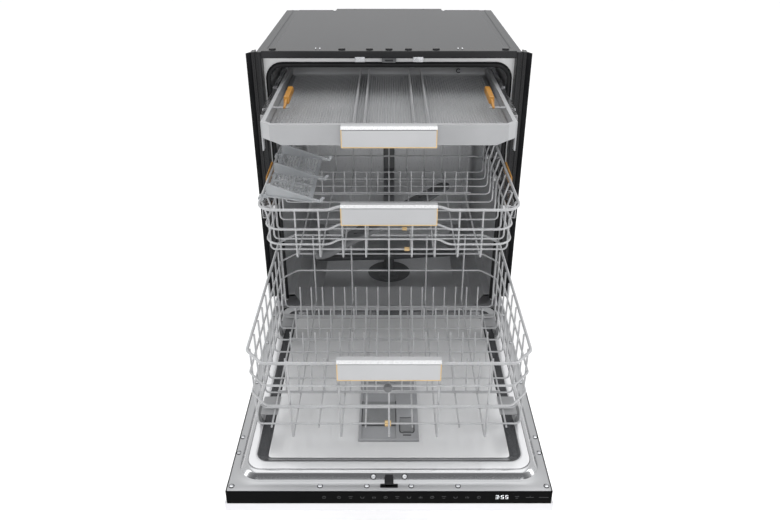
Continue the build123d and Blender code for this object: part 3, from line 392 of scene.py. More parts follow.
WIDTHS = {
    0.3: "side_panels rear_panel door_shell front_flange rack_guides third_rack_runners upper_rack_runners "
         "third_middle_slides upper_middle_slides",
    0.4: "counter_brackets hinge_arms hinge_brackets",
    0.5: "side_sealing_strips detergent_lid rinse_aid_flap door_latch top_panel tub_floor wheel_brackets",
    0.7: "dispenser_body",
    0.8: "cup_shelf door_strike furniture_panel front_wheels rear_wheels filter_cup",
    1.0: "third_rack_frame upper_height_levers front_uprights top_spray_arm",
    1.2: "lower_spray_arm upper_spray_arm",
    1.5: "upper_feed_tube water_duct",
}
soft = {node: soften(node, width) for width, group in WIDTHS.items() for node in group.split()}
bracket_grey = finish("bracket_grey", (0.27, 0.273, 0.28), 0.38, 0.0, 0.06, 0.06, 30.0, relief=0.05)
soft["wheel_brackets"].data.materials[0] = bracket_grey
for node, thing in nodes.items():
    thing.data.materials.clear()
    thing.data.materials.append(finishes[slot_of_node[node]])
triangles = sum(len(face.vertices) - 2 for thing in soft.values() for face in thing.data.polygons)
print("softened:", len(soft), "triangles:", triangles)

# %% [markdown]
# ## Wires by Geometry Nodes
# The baskets and the folding rows are wire, and every wire is the same recipe: a path, rounded at its
# corners, with a round section swept along it. The tree turns the edges of a plain mesh into curves, fillets
# them, sweeps a circle along them and closes the ends. Its sizes are named inputs, so one tree serves every
# gauge of wire.

# %% The wire tree
def new_tree(name, inputs):
    """A node tree with a mesh input and output and the named inputs given."""
    tree = bpy.data.node_groups.new(name, "GeometryNodeTree")
    face = tree.interface
    face.new_socket("Geometry", in_out="INPUT", socket_type="NodeSocketGeometry")
    for label, kind, value in inputs:
        socket = face.new_socket(label, in_out="INPUT", socket_type="NodeSocket" + kind)
        if value is not None:
            socket.default_value = value
    face.new_socket("Geometry", in_out="OUTPUT", socket_type="NodeSocketGeometry")
    return tree, tree.nodes.new("NodeGroupInput"), tree.nodes.new("NodeGroupOutput")


def close_tree(tree, last, output, start, end):
    """Ends a tree: smooth shading, real geometry and the material."""
    smooth = tree.nodes.new("GeometryNodeSetShadeSmooth")
    real = tree.nodes.new("GeometryNodeRealizeInstances")
    paint = tree.nodes.new("GeometryNodeSetMaterial")
    link_all(tree, [
        (last, output, smooth, "Geometry"),
        (smooth, "Geometry", real, "Geometry"),
        (real, "Geometry", paint, "Geometry"),
        (start, "Material", paint, "Material"),
        (paint, "Geometry", end, "Geometry"),
    ])


def wire_tree():
    tree, start, end = new_tree("round_wires", [
        ("Wire radius", "Float", 0.0018), ("Bend radius", "Float", 0.008), ("Sides", "Int", 10),
        ("Bend steps", "Int", 5), ("Material", "Material", None),
    ])
    curve = tree.nodes.new("GeometryNodeMeshToCurve")
    fillet = add_node(tree, "GeometryNodeFilletCurve", Limit_Radius=True)
    ring = tree.nodes.new("GeometryNodeCurvePrimitiveCircle")
    sweep = add_node(tree, "GeometryNodeCurveToMesh", Fill_Caps=True)
    fillet.mode = "POLY"
    link_all(tree, [
        (start, "Geometry", curve, "Mesh"),
        (curve, "Curve", fillet, "Curve"),
        (start, "Bend steps", fillet, "Count"),
        (start, "Bend radius", fillet, "Radius"),
        (start, "Sides", ring, "Resolution"),
        (start, "Wire radius", ring, "Radius"),
        (fillet, "Curve", sweep, "Curve"),
        (ring, "Curve", sweep, "Profile Curve"),
    ])
    close_tree(tree, sweep, "Mesh", start, end)
    return tree


def grow(thing, tree, values):
    """Runs a tree on an object with named values and keeps the result as a plain mesh."""
    modifier = thing.modifiers.new("grow", "NODES")
    modifier.node_group = tree
    for item in tree.interface.items_tree:
        if item.item_type == "SOCKET" and item.in_out == "INPUT" and item.name in values:
            modifier[item.identifier] = values[item.name]
    return baked(thing)


wires = wire_tree()


def wire_piece(name, paths, size, bend, body, sides=8, steps=1, replaced=(), slot="coated_wire"):
    """Sweeps wires of one gauge along paths. A path that ends where it starts is a closed ring."""
    points, edges = [], []
    for path in paths:
        closed = path[0] == path[-1]
        corners = path[:-1] if closed else path
        first = len(points)
        points += corners
        edges += [(first + i, first + i + 1) for i in range(len(corners) - 1)]
        if closed:
            edges.append((len(points) - 1, first))
    thing = grow(make_object(name, points, edges), wires, {
        "Wire radius": size / 2 * MM, "Bend radius": bend * MM, "Sides": sides, "Bend steps": steps,
        "Material": finishes[slot],
    })
    return settle(thing, body, slot, replaced)


print("wire tree inputs:", [item.name for item in wires.interface.items_tree if item.in_out == "INPUT"])

# %% [markdown]
# ## The baskets
# A real basket is a few heavy hoops with lighter wires welded inside them. Each light wire goes down one
# wall, across the floor and up the other wall in one piece, so it is one path with two bends here as well.
# The lower basket's corners are cut straight across, and the upper basket's front rises in the middle, behind
# the handle.

# %% Paths of a basket
HUMP, HUMP_FOOT = 96, 116


def hoop_path(half, front, back, z, rise=0.0, cut=None):
    """A closed ring round a basket, with the front raised in the middle and the corners cut if given."""
    near, far = [(half, front, z)], [(half, back, z)]
    if cut:
        across, along = cut
        near = [(half, front + along, z), (half - across, front, z)]
        far = [(half, back - along, z), (half - across, back, z)]
    path = [(-x, y, h) for x, y, h in near]
    if rise:
        high = z + rise
        path += [(x, front, h) for x, h in ((-HUMP_FOOT, z), (-HUMP, high), (HUMP, high), (HUMP_FOOT, z))]
    path += near[::-1] + far + [(-x, y, h) for x, y, h in reversed(far)]
    return path + [path[0]]


def cross_paths(rows, top_half, top, bottom_half, bottom):
    """Wires from wall to wall: down, across the floor and up."""
    side = [(top_half, top), (bottom_half, top - 38), (bottom_half, bottom)]
    return [[(-x, y, z) for x, z in side] + [(x, y, z) for x, z in reversed(side)] for y in rows]


def long_paths(columns, front, back, top, bottom, rise=0.0):
    """Wires from the front wall to the back wall."""
    return [[(x, front, top + (rise if abs(x) < HUMP else 0)), (x, front, bottom), (x, back, bottom),
             (x, back, top)] for x in columns]


# %% The two baskets
RIM, RAIL, WIRE, TINE = 5.6, 4.2, 3.6, 3.2


def basket(rack, rim, rails, wires_inside, bend, bend_steps):
    """The rim, the rails and the light wires of a basket, in their three gauges."""
    body = f"{rack}_rack"
    wire_piece(f"{rack}_rim", [rim], RIM, bend, body, 12, bend_steps, [f"{rack}_basket"])
    wire_piece(f"{rack}_rails", rails, RAIL, bend, body, 10, bend_steps)
    wire_piece(f"{rack}_wires", wires_inside, WIRE, 9, body, 8, 4)


cut = (32, 38)
rails = [hoop_path(254.8, -571.3, -76.7, z, 0, cut) for z in (391, 345)]
cross = cross_paths(range(-531, -116, 46), 250.85, 442, 250.85, 266)
long = long_paths(range(-180, 181, 90), -567.35, -80.65, 442, 262.35)
long += [[(x, -537, 262.35), (x, -111, 262.35)] for x in range(-225, 226, 90)]
basket("lower", hoop_path(255.5, -572, -76, 441, 0, cut), rails, cross + long, 16, 6)

rails = [hoop_path(240, -351.3, 133.3, z, 11.5) for z in (592.5, 560.5)]
cross = cross_paths(range(-316, 99, 46), 246.35, 635, 236.05, 531)
long = long_paths(range(-180, 181, 45), -347.35, 129.35, 635, 527.35, 7)
basket("upper", hoop_path(251, -352, 134, 634, 7), rails, cross + long, 34, 9)

# %% [markdown]
# Each row of tines stands on its own cross wire. Two rows of the lower basket are fixed. Two others there and
# one row of the upper basket fold flat, so those three are pieces that ride on bodies of their own.

# %% The tines
def tine_paths(y, z=269.7, half=225.8, height=74, lean=8):
    count = int((half - 8) // 26)
    tines = [[(26 * k, y, z), (26 * k, y + lean, z + 1.6 + height)] for k in range(-count, count + 1)]
    return [[(-half, y, z), (half, y, z)], *tines]


wire_piece("lower_fixed_tines", tine_paths(-347) + tine_paths(-163), TINE, 0, "lower_rack")
wire_piece("lower_front_row", tine_paths(-439), TINE, 0, "lower_front_tines", replaced=["lower_front_tines"])
wire_piece("lower_rear_row", tine_paths(-255), TINE, 0, "lower_rear_tines", replaced=["lower_rear_tines"])
wire_piece("upper_row", tine_paths(-40, 534.7, 192, 50, 5), TINE, 0, "upper_tines", replaced=["upper_tines"])

# %% [markdown]
# ## Pressed sheet
# The door's inner sheet and the tub are pressed from flat steel, so their corners are rolled and every change
# of direction is a soft bend. Both are drawn here as rounded outlines that follow each other, spaced along a
# curve near each bend. Faces between neighbouring outlines make the skin, and a Solidify modifier gives it
# the thickness of the sheet.

# %% Rings and skins
def bent(keys, reach, steps=5):
    """Replaces the corners of a list of ring sizes by short curves, so that the skin bends softly."""
    rings = [keys[0]]
    for before, key, after in zip(keys, keys[1:], keys[2:]):
        ends = []
        for other in (before, after):
            length = dist((key[0], key[-1]), (other[0], other[-1]))
            share = min(0.48, reach / length)
            ends.append([k + (o - k) * share for k, o in zip(key, other)])
        for step in range(steps + 1):
            t = step / steps
            near, middle, far = (1 - t) ** 2, 2 * t * (1 - t), t * t
            rings.append([near * a + middle * k + far * b for a, k, b in zip(ends[0], key, ends[1])])
    return rings + [keys[-1]]


def arc(x, y, radius, start, turn, steps):
    """Points of an arc in a plane. Its start and its turn are in degrees."""
    angles = [radians(start + turn * step / steps) for step in range(steps + 1)]
    return [(x + radius * cos(angle), y + radius * sin(angle)) for angle in angles]


def rounded_ring(half, front, back, radius, z):
    """Points of a rounded rectangle that lies flat."""
    points = []
    for turn, x, y in ((180, -half, front), (270, half, front), (0, half, back), (90, -half, back)):
        centre = (x - copysign(radius, x), y + radius if y == front else y - radius)
        points += arc(*centre, radius, turn, 90, 8)
    return [(x, y, z) for x, y in points]


def skin(name, rings, fill_last=True, closed=True):
    """Faces between rings of equally many points, with the last ring filled if asked."""
    count = len(rings[0])
    faces = ring_faces(len(rings), count, closed)
    if fill_last:
        faces.append(tuple((len(rings) - 1) * count + i for i in range(count)))
    return make_object(name, [point for ring in rings for point in ring], (), faces)


def prism(name, corners, low=190, high=230):
    """A solid between two heights, used to cut an opening."""
    points = [(x, y, z) for z in (low, high) for x, y in corners]
    return outward(make_object(name, points, (), ring_faces(2, len(corners), ends=True)))


def thicken(thing, thickness, inwards):
    """Gives a skin the sheet's thickness, on the side it has to spare."""
    solid = thing.modifiers.new("sheet", "SOLIDIFY")
    solid.thickness = thickness * MM
    solid.offset = -1 if inwards else 1
    solid.use_even_offset = True


# %% [markdown]
# The door's inner sheet has a flat flange, a raised band that the gasket closes on, and a dished middle. It is
# one steel, but each zone gets its own finish: the flange is duller, the flange and band are darker copies as
# painted shade, and the outer and inner slopes are dark copies as painted reflection, as they would mirror
# whatever stands in front of the machine. So the rings are divided into zones at the end of each bend. The
# openings are cut with plain prisms by a Boolean modifier.

# %% The door's inner sheet
FLANGE, BAND, DISH = 203.65, 218.0, 207.0
SHEET = 1.2
keys = [
    (298.4, -640.6, -16.0, 3.0, FLANGE),
    (286.0, -621.0, -21.0, 44.0, FLANGE),
    (272.1, -607.1, -34.9, 30.1, BAND),
    (252.0, -580.2, -60.0, 24.0, BAND),
    (234.4, -562.6, -77.6, 8.0, DISH),
    (228.0, -556.2, -84.0, 4.0, DISH),
]
outlines = bent(keys, 5.0)
heights = list(enumerate(ring[-1] for ring in outlines))
foot = next(i for i, z in heights if z > DISH - 0.1)
crest = next(i for i, z in heights if z > BAND - 0.1)
brink = next(i for i, z in heights if i > crest + 2 and z < BAND - 0.1)
bottom = next(i for i, z in heights if i > brink and z < DISH + 0.2)
cutters = [
    prism("cut_dispenser", [(-57, -514.6), (55.5, -514.6), (55.5, -340), (-57, -340)]),
    prism("cut_latch", [(-15, -632), (15, -632), (15, -626), (7, -626), (7, -614), (-7, -614), (-7, -626),
                        (-15, -626)]),
]


def sheet_zone(name, first, last, filled, opening, material):
    """One zone of the sheet, from one ring to another, with its opening cut."""
    zone = outward(skin(name, [rounded_ring(*ring) for ring in outlines[first:last + 1]], filled))
    if sum(face.normal.z * face.area for face in zone.data.polygons) < 0:
        zone.data.flip_normals()
    thicken(zone, SHEET, True)
    if opening:
        cut_out = zone.modifiers.new("opening", "BOOLEAN")
        cut_out.operation = "DIFFERENCE"
        cut_out.solver = "EXACT"
        cut_out.object = opening
    return settle(rounded(zone, 0), "door", "liner_steel", (), material)


# Every zone but the dish gets a darker copy of the steel: painted shade on the flange and band, painted
# reflection on the slope and the step.
zones = [sheet_zone(*zone) for zone in (
    ("door_sheet_flange", 0, foot, False, cutters[1], flange_steel_painted_shade),
    ("door_sheet_slope", foot, crest, False, cutters[1], pressed),
    ("door_sheet_band", crest, brink, False, None, band_steel_painted_shade),
    ("door_sheet_step", brink, bottom, False, None, drawn),
    ("door_sheet_dish", bottom, len(outlines) - 1, True, cutters[0], finishes["liner_steel"]),
)]
put_away(*cutters)
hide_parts("door_liner")
print("inner sheet faces:", [len(zone.data.polygons) for zone in zones])

# %% [markdown]
# The tub is one wrap of sheet: walls and roof with rolled corners, drawn in to a back wall by a rounded edge.
# Three shallow ribs stiffen the back. The rings stand upright here and run from the mouth to the back.

# %% The tub
def arch_ring(half, top, bottom, radius, y):
    """An upright outline of the tub: open at the bottom, rounded above."""
    left = arc(-half + radius, top - radius, radius, 180, -90, 10)
    right = arc(half - radius, top - radius, radius, 90, -90, 10)
    return [(x, y, z) for x, z in ((-half, bottom), *left, *right, (half, bottom))]


HALF, ROOF, CORNER, SILL, BACK = 268, 816, 30, 200, 541
ROLL, ROLL_STEPS = 18.0, 6
rings = [arch_ring(HALF, ROOF, SILL, CORNER, y) for y in (21.2, 120, 280, 420, BACK - ROLL)]
for step in range(1, ROLL_STEPS + 1):
    angle = radians(90 * step / ROLL_STEPS)
    inset = ROLL * (1 - cos(angle))
    depth = BACK - ROLL + ROLL * sin(angle)
    rings.append(arch_ring(HALF - inset, ROOF - inset, SILL, CORNER - inset, depth))
tub = outward(skin("tub_wrap", rings, closed=False))
back_wall = max(tub.data.polygons, key=lambda face: face.center.y * 1000 + face.area)
thicken(tub, SHEET, back_wall.normal.y < 0)
settle(rounded(tub, 0), "cabinet", "stainless", ["tub_shell"])
ribs = [[(-208, 542.6, z), (208, 542.6, z)] for z in (320, 470, 700)]
wire_piece("back_ribs", ribs, 4.6, 0, "cabinet", 12, slot="stainless")

# %% [markdown]
# The gasket is a rubber moulding round the tub's mouth: a foot on the pale frame, a hollow bulge that the
# door presses on, and a thin lip inwards. It is the same section everywhere, so each point of the section
# becomes one arch, and the faces between the arches close it.

# %% The gasket
section = [(8.4, 19.9), (8.4, 18.0), (7.0, 15.6), (4.6, 13.9), (2.0, 13.5), (-0.6, 14.3), (-3.2, 16.6),
           (-3.5, 18.0), (-1.6, 18.7), (0.4, 19.9)]
rings = [arch_ring(HALF + out, ROOF + out, 206.5, CORNER + out, y) for out, y in section]
count, turns = len(rings[0]), len(section)
faces = ring_faces(turns, count, closed=False, joined=True)
faces += [tuple(r * count for r in range(turns)), tuple(r * count + count - 1 for r in reversed(range(turns)))]
gasket = outward(make_object("mouth_gasket", [point for ring in rings for point in ring], (), faces))
settle(rounded(gasket, 0.5, 2, 30), "cabinet", "gasket", ["door_gasket"])

# %% [markdown]
# ## The handles
# Each handle is a silver shell, open behind for the fingers. Its upper edge is a rounded lip, painted near
# white as a painted highlight, and the groove under it holds a dark grey strip as painted shade. A thin gold
# line runs along its lower edge and up both ends. The shell is one outline swept across the rack, with two
# cheeks set just inside its ends. The gold line stands a quarter of a millimetre proud.

# %% Handle shells and gold lines
def swept_piece(name, parts, width, body, slot, replaced=(), material=None, steps=2, angle=35):
    """One rounded piece from closed outlines of (y, z) points, each drawn out along x between two ends."""
    points, faces = [], []
    for outline, ends in parts:
        first = len(points)
        points += [(x, y, z) for x in ends for y, z in outline]
        faces += [tuple(first + i for i in face) for face in ring_faces(2, len(outline), ends=True)]
    thing = rounded(outward(make_object(name, points, (), faces)), width, steps, angle)
    return settle(thing, body, slot, replaced, material)


HANDLE_HALF, HANDLE_HEIGHT, HANDLE_DEPTH = 91.0, 42.0, 15.0
SHELL = [(0, -41), (0, -7.2), (1.4, -6.9), (1.4, -5.6), (0.4, -5.2), (4.4, -0.4), (15, 0),
         (15, -2.6), (5, -2.6), (2.6, -5.5), (2.6, -39.4), (5, -39.4), (5, -42), (1, -42)]
CHEEK = [(1.6, -41.6), (1.6, -5), (4, -0.4), (14.9, -0.4), (14.9, -21), (6, -41.6)]
LIP = [(-0.1, -5.4), (4.1, 0), (4.6, -0.5), (0.5, -5.7)]
GROOVE_SHADE_STRIP = [(0.5, -6.9), (0.5, -5.7), (1.5, -5.7), (1.5, -6.9)]


def handle(rack, back, top):
    """A shell, its lip and its groove, whose outlines are measured from the handle's upper front edge."""
    node, body, half = f"{rack}_rack_handle", f"{rack}_rack", HANDLE_HALF
    shell, cheek, lip, groove = (
        [(back - HANDLE_DEPTH + y, top + z) for y, z in outline] for outline in (SHELL, CHEEK, LIP, GROOVE_SHADE_STRIP))
    parts = [(shell, (-half, half)), (cheek, (-half + 0.2, -half + 2.6)), (cheek, (half - 2.6, half - 0.2))]
    grey = finishes["dispenser_lid"]
    swept_piece(node + "_shell", parts, 0.35, body, "handle_silver", [node], angle=30)
    # The lip is painted near white as a painted highlight along the upper edge.
    swept_piece(node + "_lip", [(lip, (-half, half))], 0.15, body, "handle_silver", (), painted_highlight_pale, 1, 30)
    # The groove strip is painted dark grey as painted shade in the groove.
    parts = [(groove, (-half + 0.4, half - 0.4))]
    swept_piece(node + "_groove", parts, 0.1, body, "handle_silver", (), grey, 1, 30)


def gold_line(rack, back, top, width=1.9):
    half, front = HANDLE_HALF, back - HANDLE_DEPTH
    high, low = top - 5.6, top - HANDLE_HEIGHT + 0.6
    inner, sill = half - width, low + width
    shape = [(-half, high), (-half, low), (half, low), (half, high),
             (inner, high), (inner, sill), (-inner, sill), (-inner, high)]
    points = [(x, y, z) for y in (front - 0.25, front + 0.6) for x, z in shape]
    sides = [(0, 1, 6, 7), (1, 2, 5, 6), (2, 3, 4, 5)]
    faces = ring_faces(2, 8) + sides + [tuple(8 + i for i in face) for face in sides]
    line = rounded(outward(make_object(f"{rack}_gold_line", points, (), faces)), 0.12, 1)
    settle(line, f"{rack}_rack", "lever_orange", (), gold)


for make in (handle, gold_line):
    for rack in (("third", -278.05, 777), ("upper", -354.85, 651), ("lower", -574.85, 458)):
        make(*rack)

# %% [markdown]
# ## Repeated small things
# Screws, and the teeth and bars of the top tray, are one shape set many times. A second tree does that:
# it puts a small model on every point of a mesh and turns all copies one way.

# %% The setting tree
def setting_tree():
    tree, start, end = new_tree("set_on_points", [
        ("Model", "Object", None), ("Turn", "Vector", (0, 0, 0)), ("Material", "Material", None),
    ])
    model = tree.nodes.new("GeometryNodeObjectInfo")
    turned = tree.nodes.new("FunctionNodeEulerToRotation")
    put = tree.nodes.new("GeometryNodeInstanceOnPoints")
    link_all(tree, [
        (start, "Model", model, "Object"),
        (start, "Geometry", put, "Points"),
        (model, "Geometry", put, "Instance"),
        (start, "Turn", turned, "Euler"),
        (turned, "Rotation", put, "Rotation"),
    ])
    close_tree(tree, put, "Instances", start, end)
    return tree


setting = setting_tree()


def model_from(name, points, sides):
    """A small model about the origin, from rings of points in millimetres, filled at both ends."""
    mesh = bpy.data.meshes.new(name)
    faces = ring_faces(len(points) // sides, sides, ends=True)
    mesh.from_pydata([tuple(value * MM for value in point) for point in points], [], faces)
    return outward(linked(name, mesh))


def small_model(name, rings, sides):
    """A small turned shape about z, from (radius, height) pairs."""
    angles = [2 * pi * (i + 0.5) / sides for i in range(sides)]
    return model_from(name, [(r * cos(a), r * sin(a), z) for r, z in rings for a in angles], sides)


def set_models(name, model, points, body, slot, turn=(0, 0, 0), material=None):
    material = material or finishes[slot]
    thing = grow(make_object(name, points), setting, {"Model": model, "Turn": turn, "Material": material})
    thing.data.set_sharp_from_angle(angle=radians(40))
    return settle(thing, body, slot, (), material)


# %% [markdown]
# The door's inner sheet is held by screws round its flange. A pan head with a round recess is a turned
# profile, and the same head serves the two beside the latch, the roof's rear edge and the back. The two
# beside the latch lie on the slope, so they are turned to its angle. Dark discs under the door's screws are
# painted shade for the recesses they sit in, and the roof's two screws are painted near white as painted
# highlights.

# %% Screws
SIDES = (-1, 1)
head = small_model("screw_head", [(3.9, 0.2), (3.9, 0.9), (3.2, 1.6), (1.6, 1.9), (1.3, 0.9)], 14)
recess_shade_disc = small_model("screw_seat", [(5.4, 0), (5.4, 0.15), (5.0, 0.3)], 16)
door_screws = [(side * x, -629.5, FLANGE - 0.05) for x in (41, 127, 290) for side in SIDES]
door_screws += [(side * 292, y, FLANGE - 0.05) for y in (-545, -502, -330, -180, -60) for side in SIDES]
set_models("door_screws", head, door_screws, "door", "zinc_bracket")
back_screws = [(side * x, 555.9, z) for x in (240, 284) for z in (50, 160, 290, 735, 825) for side in SIDES]
set_models("back_screws", head, back_screws, "cabinet", "zinc_bracket", (radians(-90), 0, 0))
# Dark discs under the door's screws, as painted shade in their recesses.
shaded_recess_spots = [(x, y, z) for x, y, z in door_screws if y < -620 or abs(x) > 280]
set_models("door_screw_seats", recess_shade_disc, shaded_recess_spots, "door", "gasket")
slope_turn = (radians(45.9), 0, 0)
shaded_recess_spots = [(side * 29, -613.9, 211.3) for side in SIDES]
set_models("latch_screw_seats", recess_shade_disc, shaded_recess_spots, "door", "gasket", slope_turn)
latch_screws = [(side * 29, -614.0, 211.4) for side in SIDES]
set_models("latch_screws", head, latch_screws, "door", "zinc_bracket", slope_turn)
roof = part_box("top_panel")[1].z / MM
roof_screws = [(side * 154, 524, roof) for side in SIDES]
# The roof screws are painted near white as painted highlights.
set_models("roof_screws", head, roof_screws, "cabinet", "zinc_bracket", material=painted_highlight_pale)
put_away(head, recess_shade_disc)

# %% [markdown]
# ## The top tray
# The tray's floor is a fine grid, and its dividers are rails with a row of small fingers that keep the
# things apart. Bars and fingers are set by the tree above, which keeps hundreds of them to a dozen faces
# each.

# %% Grid, rails and fingers
def bar_model(name, x, y, z):
    """A bar centred on the origin, standing on it, with its upper edges drawn in a little."""
    inset = min(x, y) * 0.2
    levels = ((x / 2, y / 2, 0), (x / 2, y / 2, z - inset), (x / 2 - inset, y / 2 - inset, z))
    corners = ((-1, -1), (1, -1), (1, 1), (-1, 1))
    return model_from(name, [(a * u, b * v, height) for u, v, height in levels for a, b in corners], 4)


TRAY_FRONT, TRAY_BACK, TRAY_HALF = -274.6, 212.6, 241.6
GRID_Z, GRID_STEP = 747.1, 5.5
middle_y = (TRAY_FRONT + TRAY_BACK) / 2
pale_rail = finish("pale_rail", (0.46, 0.465, 0.475), 0.36, 0.0, 0.04, 0.06, 12.0, relief=0.04)
long_bar = bar_model("grid_long_bar", 1.7, TRAY_BACK - TRAY_FRONT - 30, 2.0)
wide_bar = bar_model("grid_wide_bar", 2 * TRAY_HALF - 4, 1.7, 2.0)
rim_bar = bar_model("grid_rim_bar", 9.0, TRAY_BACK - TRAY_FRONT - 34, 2.2)
rail = bar_model("divider_rail", 4.6, 452, 8.0)
finger = small_model("divider_finger", [(2.4, 0), (2.2, 7), (1.4, 10.6)], 6)
for name, bar, places in (
    ("tray_grid_long", long_bar, [(GRID_STEP * step, middle_y, GRID_Z) for step in range(-42, 43)]),
    ("tray_grid_wide", wide_bar, [(0, middle_y + GRID_STEP * step, GRID_Z) for step in range(-41, 42)]),
    ("tray_grid_sides", rim_bar, [(side * 236.6, middle_y, GRID_Z) for side in SIDES]),
):
    set_models(name, bar, places, "third_rack", "rack_frame")
dividers = (-70, -49, 50, 79)
places = [(x, middle_y, 749.4) for x in dividers]
rails = set_models("divider_rails", rail, places, "third_rack", "rack_frame", material=pale_rail)
places = [(x, middle_y - 218 + 11.5 * step, 757.2) for x in dividers for step in range(39)]
set_models("divider_fingers", finger, places, "third_rack", "rack_frame", material=pale_rail)
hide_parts("third_rack_floor")
put_away(long_bar, wide_bar, rim_bar, rail, finger)

# %% [markdown]
# Two levers set the height of the tray's sides. Each is a slanted paddle on a narrow neck, and the neck turns
# on an axle that runs out to the tray's wall. The paddle is gold-coloured plastic, and the axle is grey.

# %% The tray's levers
def tray_lever(side):
    name = "left" if side < 0 else "right"
    inner, outer = (206, 217) if side > 0 else (-217, -206)
    paddle = [(-141, 776), (-134, 789.6), (-58, 790.6), (-48, 780), (-58, 776.6), (-130, 774.6)]
    neck = [(-171, 775), (-170, 779), (-134, 786), (-132, 778), (-160, 773.6)]
    middle = (inner + outer) / 2
    node = f"third_{name}_lever"
    parts = [(paddle, (inner, outer)), (neck, (middle - 2.5, middle + 2.5))]
    swept_piece(name + "_lever_paddle", parts, 1.3, node, "lever_orange", [node], None, 3, 30)
    axle = [(side * 203, -166, 776), (side * 236.2, -166, 776)]
    wire_piece(name + "_lever_axle", [axle], 4.2, 0, node, 12, slot="rack_frame")


for side in SIDES:
    tray_lever(side)

# %% [markdown]
# ## The rail over the mouth
# A black rail closes the gap between the roof and the mouth. Round pegs stand along its upper edge, and two
# steel clips with pairs of teeth between them. The door's latch has a black rim and a stem that lies up the
# slope.

# %% Rail, pegs, teeth and latch rim
RAIL_TOP = 852
rail_outline = [(1.5, 836), (0, 837.5), (0, 850.5), (1.5, RAIL_TOP), (26, RAIL_TOP), (26, 849), (4, 849),
                (4, 836)]
swept_piece("top_rail_bar", [(rail_outline, (-279.8, 279.8))], 0.7, "cabinet", "black_trim", ["top_rail"])
peg = small_model("peg", [(8.0, 0), (8.0, 1.6), (7.2, 2.5), (5.4, 3.0)], 20)
places = [(x, 17.5, RAIL_TOP) for x in (-257, -104, -43, 0, 43, 104, 257)]
set_models("top_rail_pegs", peg, places, "cabinet", "black_trim")
put_away(peg)
tooth = [(18.5, RAIL_TOP), (23.5, RAIL_TOP), (23.5, 853.8), (21, 854.9), (18.5, 853.4)]
teeth = [(tooth, (x + step - 1.2, x + step + 1.2)) for x in (-157, 157) for step in (-4.6, 4.6)]
swept_piece("clip_teeth", teeth, 0.3, "cabinet", "zinc_bracket")
rim = [(-15.5, -632.6, 204.2), (15.5, -632.6, 204.2), (15.5, -625.6, 204.2), (7.5, -625.6, 204.2),
       (7.5, -620.6, 204.4), (7.5, -614, 211.4)]
rim += [(-x, y, z) for x, y, z in reversed(rim)]
wire_piece("latch_rim", [rim + [rim[0]]], 2.0, 0.8, "door", 8, 2, slot="door_black")
stem = [(-627, 203.7), (-621.2, 203.7), (-611.2, 213.9), (-612, 214.8), (-621.6, 204.9), (-627, 204.6)]
swept_piece("latch_stem", [(stem, (-7.2, 7.2))], 0.2, "door", "door_black")

# %% [markdown]
# The gaps round the dispenser's lid and flap, and its slot, show dark with shade, so thin dark wires are
# laid in them as painted shade. The wire tree lays those as well.

# %% Painted shade in the dispenser's gaps
GAP_SHADE_Z = 212.9
lid_gap_shade = [(x, y, GAP_SHADE_Z - 0.3) for x, y in ((-55.4, -404), (-55.4, -476), (14.3, -476), (14.3, -404))]
flap_gap_shade = [(x, y, GAP_SHADE_Z) for x, y in (
    (21.4, -474), (21.4, -494), (24.5, -499.4), (47.5, -499.4), (50.6, -494), (50.6, -474))]
slot_shade_line = [(28, -506, GAP_SHADE_Z), (44, -506, GAP_SHADE_Z)]
wire_piece("dispenser_seals", [lid_gap_shade, flap_gap_shade], 1.7, 1.5, "door", 8, 3, slot="door_black")
wire_piece("dispenser_slot", [slot_shade_line], 2.6, 0, "door", slot="door_black")

# %% [markdown]
# The black shell of the door is folded up round the steel sheet, so a thin dark line frames its two long
# sides.

# %% The door's dark edges
edges = [[(side * 298.0, -640, 203.9), (side * 298.0, -6, 203.9)] for side in SIDES]
wire_piece("door_edge_lines", edges, 1.8, 0, "door", slot="door_black")

# %% [markdown]
# The folding shelf of the upper rack is a clear moulding with a fine lattice in its windows. The lattice is two
# layers of thin bars, tilted with the shelf.

# %% The shelf's lattice
TILT = radians(8)


def on_shelf(x, y, z):
    """A place on the tilted shelf, from its distance to the rim."""
    return (-251 + x * cos(TILT) + z * sin(TILT), y, 634 - x * sin(TILT) + z * cos(TILT))


long_bar = bar_model("lattice_long", 1.3, 232, 1.5)
wide_bar = bar_model("lattice_wide", 84, 1.3, 1.5)
places = [on_shelf(14 + 42 * column + 6 * step, -178, 5.2) for column in (0, 1) for step in range(1, 6)]
set_models("shelf_lattice_long", long_bar, places, "cup_shelf", "shelf_clear", (0, TILT, 0))
places = [on_shelf(55, -290 + 8 * step, 5.4) for step in range(29)]
set_models("shelf_lattice_wide", wide_bar, places, "cup_shelf", "shelf_clear", (0, TILT, 0))
put_away(long_bar, wide_bar)

# %% [markdown]
# ## The control strip
# The strip is a black moulding with a printed row of key marks and a lit time. Print has no thickness to
# speak of, so the face is set back by 0.15 mm and the marks are thin plates on it. The time is seven-segment
# figures, as such displays have, and it glows a little.

# %% Strip and marks
MARK_DEPTH, MARK_Z = 0.15, 187.0
strip = rounded(merged_copy("control_strip", "strip_moulding", MARK_DEPTH), 0.6)
settle(strip, "door", "strip_black", ["control_strip"])


def stroke(a, b, width=0.9):
    """A thin plate from point a to point b on the strip's face, given as x and z."""
    length = dist(a, b) or 1.0
    along = ((b[0] - a[0]) / length * width / 2, (b[1] - a[1]) / length * width / 2)
    side = (-along[1], along[0])
    corners = [
        (end[0] + go * along[0] + turn * side[0], end[1] + go * along[1] + turn * side[1])
        for end, go, turn in ((a, -1, 1), (a, -1, -1), (b, 1, -1), (b, 1, 1))
    ]
    return [(x, y, z) for y in (-641.12, -641.0) for x, z in corners]


